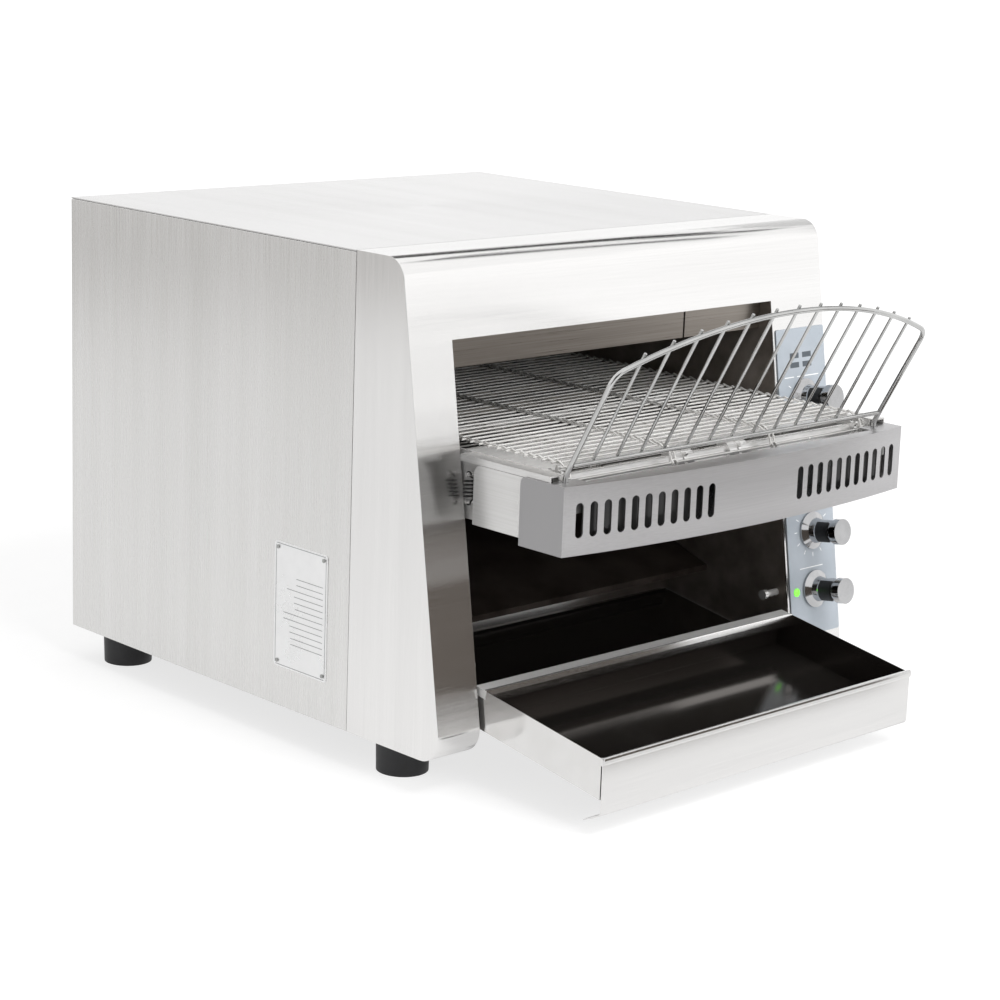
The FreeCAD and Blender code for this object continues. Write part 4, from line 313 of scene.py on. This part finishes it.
# Frosted quartz heating tubes: milky, warm white glass
quartz = mottled("frosted_quartz", "#D9D3C8", "#BDB5A8", 0.30, ior=1.46)
# Unglazed steatite insulators: chalky cream
ceramic = mottled("steatite_ceramic", "#DAD6CB", "#C4BFB3", 0.62, ior=1.6)
# Stoved black enamel: deep black under a thin gloss; on the apron shield it is a black sheet standing in for
# shade, a painted shade
black_enamel = mottled("black_enamel", "#222222", "#141414", 0.30, coat=0.3)
# Oil-blackened spring wire: brown black with a faint shine
spring_black = mottled("blackened_spring_wire", "#1D1B1A", "#0C0B0B", 0.34, metallic=0.3)
# Polyester panel overlay: flat, cool blue grey
panel_film = mottled("polyester_overlay", "#B3BAC2", "#A8B0B8", 0.34, swing=0.04, depth=0.004)
# Green lacquer of a circuit board
circuit_green = mottled("circuit_board_lacquer", "#1F5B3A", "#154029", 0.36)
# Anodised aluminium plate: whiter and flatter than the steel around it
plate_metal = mottled("anodised_aluminium_plate", "#FBFBFB", "#F2F2F2", 0.30, metallic=0.85)
# White screen-printed ink: crisp, dull marks
print_white = mottled("printed_white_ink", "#F7F8F8", "#EDEFF0", 0.5)
# Dark printed bars: slate grey on the overlay
label_ink = mottled("printed_dark_bar", "#565D64", "#4B5259", 0.45)
# Grey printed rules: thin, quiet lines on the plate
plate_ink = mottled("printed_grey_rule", "#9C9D9E", "#8C8D8E", 0.5)


def lens_material():
    """Clear green acrylic over a lit diode: it glows a little at its own colour."""
    material, tree, output, place = blank_material("green_acrylic_lens")
    cloud = add_node(tree, "ShaderNodeTexNoise", inputs={
        "Vector": place, "Scale": 1 / (2.0 * MM)}).outputs["Fac"]
    colour = add_node(tree, "ShaderNodeValToRGB", inputs={"Fac": cloud},
                      stops=((0.2, "#5CD93A"), (0.8, "#A4F27C"))).outputs["Color"]
    shader = add_node(tree, "ShaderNodeBsdfPrincipled", inputs={
        "Base Color": colour, "Roughness": 0.15, "IOR": 1.49,
        "Emission Color": linear("#7BE83C"), "Emission Strength": 0.9})
    tree.links.new(shader.outputs[0], output.inputs["Surface"])
    return material


lens_green = lens_material()

FINISHES = {
    brushed_upright: "left_side_panel right_side_panel rear_cover",
    brushed_across: "front_bezel",
    brushed_back: "top_cover",
    apron_steel: "front_apron",
    baffle_steel: "front_baffle",
    rail_steel: "left_conveyor_rail right_conveyor_rail left_cover_plate right_cover_plate",
    tray_steel: "tray_body tray_shelf",
    front_steel: "tray_front_panel",
    wall_steel: "chamber_left_wall chamber_right_wall",
    bed_steel: "belt_bed_plate",
    cavity_steel: "toast_chute upper_reflector lower_reflector base_pan",
    wire_chrome: "guard_frame guard_wires",
    belt_chrome: "conveyor_belt belt_support_rods drive_chain",
    shaft_steel: "drive_shaft idler_shaft drive_sprockets idler_sprockets tray_guide_pins shaft_bearings",
    knob_chrome: "power_knob speed_knob heat_knob",
    zinc_plate: "motor_bracket guard_sockets rear_cover_screws plate_rivets driven_chain_sprocket "
                "motor_sprocket",
    foot_rubber: "rubber_feet cord_gland",
    grip_rubber: "power_knob_grips speed_knob_grips heat_knob_grips",
    black_plastic: "fan_frame fan_impeller rotary_switches terminal_block",
    quartz: "upper_heating_tubes lower_heating_tubes",
    ceramic: "tube_insulators",
    # apron_shield is a black sheet behind the apron's slots, a painted shade for the dark seen through them
    black_enamel: "gearmotor apron_shield",
    spring_black: "tension_springs",
    panel_film: "control_panel",
    circuit_green: "control_board",
    plate_metal: "rating_plate",
    lens_green: "indicator_lamp",
}
for finish, names in FINISHES.items():
    for name in names.split():
        nodes[name].data.materials.clear()
        nodes[name].data.materials.append(finish)


def ease_edges(names, width, segments=2):
    """Round the sharp edges of folded sheet by a width in metres, so that they catch the light."""
    for name in names.split():
        weld = nodes[name].modifiers.new("weld", "WELD")
        weld.merge_threshold = 1e-5
        bevel = nodes[name].modifiers.new("eased_edges", "BEVEL")
        bevel.width = width
        bevel.segments = segments
        bevel.limit_method = "ANGLE"
        bevel.angle_limit = math.radians(40)
        bevel.harden_normals = True


# Pieces made as surfaces

def new_piece(name, points, faces, material, body, slot, smooth=True):
    """A mesh of points and faces as one piece, which rides on a body and has a finish. The slot is not used."""
    mesh = bpy.data.meshes.new(name)
    mesh.from_pydata(points.tolist(), [], faces)
    mesh.polygons.foreach_set("use_smooth", np.full(len(faces), smooth))
    mesh.update()
    mesh.materials.append(material)
    piece = bpy.data.objects.new(name, mesh)
    bpy.context.scene.collection.objects.link(piece)
    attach(piece, body)
    return piece


def grid_faces(rows, columns, closed):
    """Quads of a grid with rows along and columns round, closed round if asked."""
    round_count = columns if closed else columns - 1
    row, column = np.meshgrid(np.arange(rows - 1), np.arange(round_count), indexing="ij")
    after = (column + 1) % columns
    corners = np.stack([row * columns + column, row * columns + after,
                        (row + 1) * columns + after, (row + 1) * columns + column], axis=-1)
    return corners.reshape(-1, 4)


def tube(path, radius, sides):
    """A round wire along a path: at each point a ring, radius * (cos a * n + sin a * b), where n and b
    are square to the path, carried from point to point with the least turn, and a cap at each end."""
    ahead = np.gradient(path, axis=0)
    ahead /= np.linalg.norm(ahead, axis=1, keepdims=True)
    seed = np.eye(3)[np.argmin(np.abs(ahead[0]))]
    normals = np.empty_like(path)
    normals[0] = np.cross(ahead[0], seed)
    normals[0] /= np.linalg.norm(normals[0])
    for i in range(1, len(path)):
        carried = normals[i - 1] - ahead[i] * np.dot(normals[i - 1], ahead[i])
        normals[i] = carried / np.linalg.norm(carried)
    beside = np.cross(ahead, normals)
    turn = np.linspace(0, 2 * np.pi, sides, endpoint=False)
    rings = path[:, None] + radius * (np.cos(turn)[:, None] * normals[:, None]
                                      + np.sin(turn)[:, None] * beside[:, None])
    points = np.concatenate([rings.reshape(-1, 3), path[:1], path[-1:]])
    faces = grid_faces(len(path), sides, True)
    ring = np.arange(sides)
    after = (ring + 1) % sides
    last = (len(path) - 1) * sides
    near = np.stack([np.full(sides, len(points) - 2), after, ring], axis=-1)
    far = np.stack([np.full(sides, len(points) - 1), last + ring, last + after], axis=-1)
    return points, faces, near, far


def wires(name, paths, radius, material, body, slot, sides=8):
    """Several round wires as one piece."""
    all_points, all_faces, start = [], [], 0
    for path in paths:
        points, quads, near, far = tube(np.asarray(path, float), radius, sides)
        all_points.append(points)
        all_faces += [(face + start).tolist() for face in (quads, near, far)]
        start += len(points)
    faces = [face for group in all_faces for face in group]
    return new_piece(name, np.concatenate(all_points), faces, material, body, slot)


def smoothed(corners, per_span):
    """A quadratic B-spline through the middles of the runs between corners, with its own end points."""
    corners = np.asarray(corners, float)
    middles = ((corners[:-1] + corners[1:]) / 2)[1:-1]
    starts = np.concatenate([corners[:1], middles])
    ends = np.concatenate([middles, corners[-1:]])
    t = np.linspace(0, 1, per_span, endpoint=False)[:, None]
    spans = [(1 - t) ** 2 * a + 2 * t * (1 - t) * b + t ** 2 * c
             for a, b, c in zip(starts, corners[1:-1], ends)]
    return np.concatenate(spans + [corners[-1:]])


# Wire belt: round strands with hooks that take hold of the next strand

BELT_RADIUS = 14.149 * MM
BELT_FRONT_Y = -317.5 * MM
BELT_REAR_Y = 130.0 * MM
BELT_Z = 252.0 * MM
BELT_LEFT = -182.5 * MM
BELT_RIGHT = 159.0 * MM
BELT_MIDDLE = (BELT_LEFT + BELT_RIGHT) / 2
HOOK_OFFSET = 57.0 * MM
HOOK_WIDTH = 4.6 * MM
STRAND_RADIUS = 0.9 * MM
STRAND_PITCH = 9.6 * MM


def on_belt(points):
    """Points given as x, travel s and height h off the pitch line, laid on the loop: a straight of
    length L over the top, a half circle of radius r, the straight below and the other half circle."""
    x, travel, height = np.asarray(points, float).T
    length = BELT_REAR_Y - BELT_FRONT_Y
    half_turn = math.pi * BELT_RADIUS
    travel = np.mod(travel, 2 * (length + half_turn))
    radius = BELT_RADIUS + height
    rear = (travel - length) / BELT_RADIUS
    front = (travel - 2 * length - half_turn) / BELT_RADIUS
    spans = [travel < length, travel < length + half_turn, travel < 2 * length + half_turn]
    y = np.select(spans, [
        BELT_FRONT_Y + travel,
        BELT_REAR_Y + radius * np.sin(rear),
        BELT_REAR_Y - (travel - length - half_turn),
    ], BELT_FRONT_Y - radius * np.sin(front))
    z = np.select(spans, [
        BELT_Z + radius,
        BELT_Z + radius * np.cos(rear),
        BELT_Z - radius,
    ], BELT_Z - radius * np.cos(front))
    return np.stack([x, y, z], axis=-1)


def belt_strand(start, pitch):
    """Corners of one strand: straight across, with a hairpin to the next strand at each hook column."""
    over = 2.1 * STRAND_RADIUS
    half = HOOK_WIDTH / 2
    columns = [BELT_LEFT + half, BELT_MIDDLE - HOOK_OFFSET, BELT_MIDDLE + HOOK_OFFSET, BELT_RIGHT - half]
    corners = []
    for number, column in enumerate(columns):
        hairpin = [
            (column - half, 0.0, 0.0),
            (column - half, 0.35 * pitch, 0.0),
            (column - half, 0.80 * pitch, over * 0.6),
            (column - half, 1.05 * pitch, over),
            (column - half * 0.9, 1.22 * pitch, 0.0),
            (column + half * 0.9, 1.22 * pitch, 0.0),
            (column + half, 1.05 * pitch, over),
            (column + half, 0.80 * pitch, over * 0.6),
            (column + half, 0.35 * pitch, 0.0),
            (column + half, 0.0, 0.0),
        ]
        if number == 0:
            hairpin = hairpin[4:]
        if number == len(columns) - 1:
            hairpin = hairpin[:6]
        corners += hairpin
        if number < len(columns) - 1:
            gap = columns[number + 1] - column - HOOK_WIDTH
            corners += [(column + half + gap * share, 0.0, 0.0) for share in (0.04, 0.5, 0.96)]
    path = smoothed(corners, 3)
    path[:, 1] += start
    return on_belt(path)


belt_length = 2 * (BELT_REAR_Y - BELT_FRONT_Y) + 2 * math.pi * BELT_RADIUS
strand_count = round(belt_length / STRAND_PITCH)
strand_pitch = belt_length / strand_count
belt = wires("wire_belt", [belt_strand(i * strand_pitch, strand_pitch) for i in range(strand_count)],
             STRAND_RADIUS, belt_chrome, "casing", "bright_steel", sides=6)
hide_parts("conveyor_belt")

# Tension springs beside the rails: a coil with a hook at each end

low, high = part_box("tension_springs")
SPRING_WIRE = 0.6 * MM
SPRING_RADIUS = 3.9 * MM
SPRING_TURNS = 5
HOOK_REACH = 3.2 * MM
HOOK_RADIUS = 2.1 * MM
spring_middles = (low.x + SPRING_RADIUS + SPRING_WIRE, high.x - SPRING_RADIUS - SPRING_WIRE)


def spring_hook(x, y, end, way):
    """A hook from the coil's last point into its middle and half round a stud: a quadratic B-spline,
    above the coil for a way of 1 and below it for -1."""
    middle = end + way * HOOK_REACH
    near, far = y + way * HOOK_RADIUS, y - way * HOOK_RADIUS
    return smoothed([
        (x + SPRING_RADIUS, y, end),
        (x + SPRING_RADIUS * 0.9, near, end + way * SPRING_WIRE),
        (x, near, middle - way * SPRING_WIRE),
        (x, near, middle + way * HOOK_RADIUS),
        (x, far, middle + way * HOOK_RADIUS),
        (x, far, middle),
    ], 5)


def spring_path(x, y, bottom, top):
    """A coil x = r cos a, y = r sin a, rising evenly with a, and a hook above and below."""
    turn = np.linspace(0, 2 * np.pi * SPRING_TURNS, 24 * SPRING_TURNS)
    coil = np.stack([x + SPRING_RADIUS * np.cos(turn), y + SPRING_RADIUS * np.sin(turn),
                     np.linspace(bottom, top, len(turn))], axis=-1)
    return np.concatenate([spring_hook(x, y, bottom, -1)[:0:-1], coil, spring_hook(x, y, top, 1)[1:]])


springs = wires("tension_spring_coils", [
    spring_path(x, (low.y + high.y) / 2, low.z + SPRING_WIRE, high.z - SPRING_WIRE) for x in spring_middles
], SPRING_WIRE, spring_black, "casing", "black_spring_steel", sides=10)
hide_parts("tension_springs")

# Printed marks on the control panel: dial ticks, bars and rules

def strip_grid(starts, ends, width, up, rise):
    """Flat strips from starts to ends: each is four corners, start and end plus and minus half the width
    along the cross product of its run and the face's normal, lifted by rise along the normal."""
    starts, ends = np.asarray(starts, float), np.asarray(ends, float)
    run = ends - starts
    run /= np.linalg.norm(run, axis=1, keepdims=True)
    beside = np.cross(up, run) * width / 2
    corners = np.stack([starts - beside, ends - beside, ends + beside, starts + beside], axis=1)
    corners += np.asarray(up) * rise
    return corners.reshape(-1, 3), np.arange(4 * len(starts)).reshape(-1, 4).tolist()


LEAN = math.radians(8.64)
UP_FACE = np.array([0.0, math.sin(LEAN), math.cos(LEAN)])
OUT_OF_FACE = np.array([0.0, -math.cos(LEAN), math.sin(LEAN)])
PRINT_RISE = 0.05 * MM
panel_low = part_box("control_panel")[0]


def on_panel(x, rise):
    """Points of the panel's skin, given across as x and up the leaning face from the panel's foot."""
    x, rise = np.broadcast_arrays(np.asarray(x, float), np.asarray(rise, float))
    foot = np.array([0.0, panel_low.y, panel_low.z])
    return foot + x[:, None] * np.array([1.0, 0.0, 0.0]) + rise[:, None] * UP_FACE


TICKS = 9
TICK_INNER = 19.0 * MM
TICK_OUTER = 22.6 * MM
TICK_WIDTH = 0.8 * MM


def dial_ticks(node):
    """Both ends of the ticks round a dial, at r (cos a, sin a) from its middle, for even angles a."""
    dial_low, dial_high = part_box(node)
    middle_x = (dial_low.x + dial_high.x) / 2
    middle_rise = (dial_low.z - panel_low.z) / math.cos(LEAN) + (dial_high.x - dial_low.x) / 2
    turn = np.radians(np.linspace(150, 390, TICKS))
    return [on_panel(middle_x + r * np.cos(turn), middle_rise + r * np.sin(turn))
            for r in (TICK_INNER, TICK_OUTER)]


tick_starts, tick_ends = [
    np.concatenate(pair) for pair in zip(dial_ticks("speed_knob"), dial_ticks("heat_knob"))]
new_piece("dial_ticks", *strip_grid(tick_starts, tick_ends, TICK_WIDTH, OUT_OF_FACE, PRINT_RISE),
          print_white, "casing", "panel_overlay", smooth=False)

BAR_LEFTS = np.array([188.0, 204.0, 188.0, 204.0]) * MM
BAR_RISES = np.array([240.0, 240.0, 232.0, 232.0]) * MM
BAR_LENGTH = 11.5 * MM
BAR_WIDTH = 4.6 * MM
new_piece("panel_bars", *strip_grid(
    on_panel(BAR_LEFTS, BAR_RISES), on_panel(BAR_LEFTS + BAR_LENGTH, BAR_RISES), BAR_WIDTH, OUT_OF_FACE,
    PRINT_RISE), label_ink, "casing", "panel_overlay", smooth=False)

RULE_LEFTS = np.array([180.0, 196.0, 186.0, 192.0]) * MM
RULE_ENDS = np.array([192.0, 224.0, 194.0, 216.0]) * MM
RULE_RISES = np.array([222.0, 222.0, 58.0, 58.0]) * MM
RULE_WIDTH = 0.9 * MM
new_piece("panel_rules", *strip_grid(
    on_panel(RULE_LEFTS, RULE_RISES), on_panel(RULE_ENDS, RULE_RISES), RULE_WIDTH, OUT_OF_FACE, PRINT_RISE),
    print_white, "casing", "panel_overlay", smooth=False)

# Folded edges of the tray and of the shelf behind it

HEM_PROFILE = np.array([
    (-386.6, 62.25), (-387.4, 62.75), (-388.6, 62.85), (-389.6, 62.1), (-389.9, 60.6), (-389.8, 58.4),
    (-389.2, 57.2), (-388.7, 57.1), (-388.6, 58.0), (-388.6, 60.0), (-388.6, 62.2), (-387.6, 62.25),
]) * MM


def folded_edge(name, profile, left, right, material, body):
    """A folded edge of sheet: a closed profile in y and z, carried straight along x and capped."""
    count = len(profile)
    points = np.concatenate([np.column_stack([np.full(count, x), profile]) for x in (left, right)])
    sides = grid_faces(2, count, True).tolist()
    ends = [np.arange(count)[::-1].tolist(), (count + np.arange(count)).tolist()]
    return new_piece(name, points, sides + ends, material, body, "brushed_stainless", smooth=False)


def in_tray(profile):
    """A profile given along the sloping tray and square to it, in y and z."""
    return TRAY_PLACE[1:] + profile[:, :1] * ALONG_TRAY[1:] + profile[:, 1:] * UP_FROM_TRAY[1:]


LIP_PROFILE = np.array([
    (130.6, 31.6), (130.2, 32.5), (129.4, 32.7), (128.8, 32.2), (127.6, 28.4), (126.3, 23.8),
    (126.1, 22.7), (126.9, 22.4), (127.5, 23.5), (128.7, 28.0), (129.7, 31.4),
]) * MM
STOP_PROFILE = np.array([
    (275.1, 17.4), (274.5, 17.0), (271.9, 10.9), (271.6, 10.3), (271.2, 9.6), (268.9, 3.0),
    (268.7, 1.6), (269.5, 1.3), (270.1, 2.6), (272.6, 9.9), (275.1, 16.1),
]) * MM
SHELF_WALL = 1.2 * MM
front_low, front_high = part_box("tray_front_panel")
folded_edge("tray_hem", HEM_PROFILE, front_low.x, front_high.x, front_steel, "tray")
folded_edge("tray_ledge_lip", in_tray(LIP_PROFILE), TRAY_INSIDE_LEFT, TRAY_INSIDE_RIGHT, lip_steel, "tray")
shelf_low, shelf_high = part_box("tray_shelf")
folded_edge("shelf_stop", in_tray(STOP_PROFILE), shelf_low.x + SHELF_WALL, shelf_high.x - SHELF_WALL,
            lip_steel, "casing")

# Ruled lines of the plate on the left side

plate_low, plate_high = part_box("rating_plate")
PLATE_RULES = 12
PLATE_RULE_WIDTH = 0.5 * MM
RULES_END = 0.92
OUT_OF_SIDE = (-1.0, 0.0, 0.0)
BORDER = np.array([
    (0.04, 0.015, 0.96, 0.015), (0.97, 0.03, 0.97, 0.97), (0.96, 0.985, 0.04, 0.985), (0.03, 0.97, 0.03, 0.03)])


def on_plate(across, down):
    """Points of the plate's skin, as shares of its length from the rear and of its height from the top."""
    across, down = np.broadcast_arrays(np.asarray(across, float), np.asarray(down, float))
    return np.stack([np.full(across.shape, plate_low.x),
                     plate_high.y + (plate_low.y - plate_high.y) * across,
                     plate_high.z + (plate_low.z - plate_high.z) * down], axis=-1)


rule_levels = 0.26 + 0.0485 * np.arange(PLATE_RULES)
rule_starts = np.array([0.42, 0.42, 0.24, 0.38, 0.38, 0.40, 0.18, 0.18, 0.30, 0.30, 0.32, 0.32])
new_piece("plate_rules", *strip_grid(
    on_plate(np.append(rule_starts, BORDER[:, 0]), np.append(rule_levels, BORDER[:, 1])),
    on_plate(np.append(np.full(PLATE_RULES, RULES_END), BORDER[:, 2]), np.append(rule_levels, BORDER[:, 3])),
    PLATE_RULE_WIDTH, OUT_OF_SIDE, PRINT_RISE), plate_ink, "casing", "plate_aluminium", smooth=False)

# Floor, backdrop light and lamps

FLOOR_REACH = 12.0
NEAR_GLOW = 0.62
GLOW_START = 0.55
GLOW_FULL = 1.4
SEEN_WHITE = 1.2
LEFT_TONE = 0.86
TONE_START = -0.9
SKY_LIGHT = 0.52
SKY_SEEN = 1.04


def stage_sheet(name, corners, material):
    """A flat sheet of the studio through four corners, which isn't part of the object."""
    mesh = bpy.data.meshes.new(name)
    mesh.from_pydata(corners, [], [(0, 1, 2, 3)])
    mesh.materials.append(material)
    sheet = bpy.data.objects.new(name, mesh)
    bpy.context.scene.collection.objects.link(sheet)
    return sheet


def seen_or_mirrored(tree):
    """Two masks of the rays that reach a surface: the camera's own, and these with mirrored and passed ones."""
    ray = add_node(tree, "ShaderNodeLightPath")
    mirrored = add_node(tree, "ShaderNodeMath", {"operation": "MAXIMUM"}, {
        0: ray.outputs["Is Glossy Ray"], 1: ray.outputs["Is Transmission Ray"]}).outputs[0]
    either = add_node(tree, "ShaderNodeMath", {"operation": "MAXIMUM"}, {
        0: ray.outputs["Is Camera Ray"], 1: mirrored}).outputs[0]
    return ray.outputs["Is Camera Ray"], either


def paper_material():
    """White paper that keeps the object's shadow. It is lifted to white away from the object, and in
    reflections it is paler to the right, where the studio's light comes from."""
    material, tree, output, place = blank_material("white_paper_floor")
    fibre = add_node(tree, "ShaderNodeTexNoise", inputs={"Vector": place, "Scale": 40.0}).outputs["Fac"]
    colour = add_node(tree, "ShaderNodeValToRGB", inputs={"Fac": fibre},
                      stops=((0.3, "#F4F4F4"), (0.7, "#F8F8F8"))).outputs["Color"]
    paper = add_node(tree, "ShaderNodeBsdfDiffuse", inputs={"Color": colour})
    straight, seen = seen_or_mirrored(tree)
    away = add_node(tree, "ShaderNodeVectorMath", {"operation": "LENGTH"}, {0: place}).outputs["Value"]
    share = add_node(tree, "ShaderNodeMapRange", inputs={
        "Value": away, "From Min": GLOW_START, "From Max": GLOW_FULL, "To Min": NEAR_GLOW, "To Max": 1.0})
    lift = add_node(tree, "ShaderNodeMath", {"operation": "MULTIPLY"}, {0: seen, 1: share.outputs["Result"]})
    across = add_node(tree, "ShaderNodeSeparateXYZ", inputs={"Vector": place}).outputs["X"]
    tone = add_node(tree, "ShaderNodeMapRange", inputs={
        "Value": across, "From Min": TONE_START, "From Max": 0.0, "To Min": LEFT_TONE, "To Max": 1.0})
    strength = add_node(tree, "ShaderNodeMapRange", inputs={
        "Value": straight, "To Min": tone.outputs["Result"], "To Max": SEEN_WHITE})
    glow = add_node(tree, "ShaderNodeEmission", inputs={
        "Color": (1, 1, 1, 1), "Strength": strength.outputs["Result"]})
    both = add_node(tree, "ShaderNodeMixShader", inputs={
        0: lift.outputs[0], 1: paper.outputs[0], 2: glow.outputs[0]})
    tree.links.new(both.outputs[0], output.inputs["Surface"])
    return material


stage_sheet("studio_floor", [
    (-FLOOR_REACH, -FLOOR_REACH, 0.0), (FLOOR_REACH, -FLOOR_REACH, 0.0),
    (FLOOR_REACH, FLOOR_REACH, 0.0), (-FLOOR_REACH, FLOOR_REACH, 0.0)], paper_material())


def studio_world():
    """White behind the object, to the camera and in reflections, and an even, plainer sky as light."""
    world = bpy.data.worlds.new("studio_sky")
    bpy.context.scene.world = world
    world.use_nodes = True
    tree = world.node_tree
    tree.nodes.clear()
    strength = add_node(tree, "ShaderNodeMapRange", inputs={
        "Value": seen_or_mirrored(tree)[1], "To Min": SKY_LIGHT, "To Max": SKY_SEEN})
    sky = add_node(tree, "ShaderNodeBackground", inputs={
        "Color": (1, 1, 1, 1), "Strength": strength.outputs["Result"]})
    add_node(tree, "ShaderNodeOutputWorld", inputs={"Surface": sky.outputs[0]})


studio_world()


def softbox(name, place, target, width, height, power):
    """A rectangular lamp at a place, facing a target. Metal shows the sky and the flags, not the lamp."""
    light = bpy.data.lights.new(name, "AREA")
    light.shape = "RECTANGLE"
    light.size, light.size_y = width, height
    light.energy = power
    lamp = bpy.data.objects.new(name, light)
    bpy.context.scene.collection.objects.link(lamp)
    lamp.visible_glossy = False
    back = np.array(place, float) - np.array(target, float)
    back /= np.linalg.norm(back)
    side = np.cross([0, 0, 1], back)
    side /= np.linalg.norm(side)
    turn = np.eye(4)
    turn[:3, 0], turn[:3, 1], turn[:3, 2], turn[:3, 3] = side, np.cross(back, side), back, place
    lamp.matrix_world = Matrix(turn.tolist())


softbox("overhead_softbox", (0.0, -0.2, 2.3), (0, 0, 0.2), 2.4, 2.4, 10)
softbox("high_front_softbox", (-0.1, -1.5, 1.9), (0, -0.2, 0.2), 1.2, 0.6, 20)
softbox("low_front_softbox", (0.2, -2.3, 0.75), (0, -0.2, 0.1), 1.6, 0.7, 16)


def reflection_card(name, corners, tones, glow=1.0):
    """A studio card seen only in reflections, which gives bright metal its darker and lighter tones."""
    material, tree, output, place = blank_material(name + "_felt")
    nap = add_node(tree, "ShaderNodeTexNoise", inputs={"Vector": place, "Scale": 3.0}).outputs["Fac"]
    colour = add_node(tree, "ShaderNodeValToRGB", inputs={"Fac": nap},
                      stops=((0.2, tones[0]), (0.8, tones[1]))).outputs["Color"]
    felt = add_node(tree, "ShaderNodeEmission", inputs={"Color": colour, "Strength": glow})
    tree.links.new(felt.outputs[0], output.inputs["Surface"])
    card = stage_sheet(name, corners, material)
    card.visible_camera = False
    card.visible_diffuse = False
    card.visible_shadow = False
    card.visible_transmission = False


def upright_card(name, place, facing, width, low, high, tones, glow=1.0):
    """A card standing at a place and facing another, from a low to a high level."""
    place, facing = np.array([*place, 0.0]), np.array([*facing, 0.0])
    back = (place - facing) / np.linalg.norm(place - facing)
    side = np.cross([0.0, 0.0, 1.0], back) * width / 2
    corners = [place - side + [0, 0, low], place + side + [0, 0, low],
               place + side + [0, 0, high], place - side + [0, 0, high]]
    reflection_card(name, [corner.tolist() for corner in corners], tones, glow)


def level_card(name, low, high, level, tone):
    """A card lying level, between two corners in x and y."""
    reflection_card(name, [(low[0], low[1], level), (low[0], high[1], level),
                           (high[0], high[1], level), (high[0], low[1], level)], (tone, tone))


BEZEL_FRONT = (0.0, -0.165)
SIDE_PANEL = (-0.235, 0.0)
OVERHEAD = 1.8
ON_FLOOR = 0.004
upright_card("low_front_flag", (0.219, -0.767), BEZEL_FRONT, 0.74, 0.135, 0.258, ("#6A635D", "#4E4843"))
upright_card("near_front_flag", (0.035, -0.47), (0.035, -0.165), 0.40, 0.02, 0.15, ("#6A635D", "#4E4843"))
upright_card("front_light_panel", (1.34, -1.64), BEZEL_FRONT, 4.0, 0.40, 1.3, ("#FFFFFF", "#F8F8F8"), 1.16)
upright_card("camera_side_flag", (-2.0, -2.09), (0.0, 0.0), 2.6, 0.0, 1.8, ("#1C1B1A", "#2C2A29"))
upright_card("rear_left_flag", (-1.78, 1.61), SIDE_PANEL, 3.0, 0.0, 0.22, ("#BEBCBA", "#ACAAA8"))
level_card("overhead_bar_rear", (0.3, 0.17), (3.0, 0.95), OVERHEAD, "#101010")
level_card("overhead_bar_front", (0.3, -0.62), (3.0, -0.33), OVERHEAD, "#121212")
level_card("floor_flag", (-1.6, -1.8), (-0.55, -0.62), ON_FLOOR, "#5A534E")

# Eased edges of the folded sheet

ease_edges("front_bezel left_side_panel right_side_panel top_cover rear_cover", 0.35 * MM)
ease_edges("tray_body tray_front_panel left_conveyor_rail right_conveyor_rail", 0.3 * MM)
ease_edges("left_cover_plate right_cover_plate rubber_feet", 0.3 * MM)
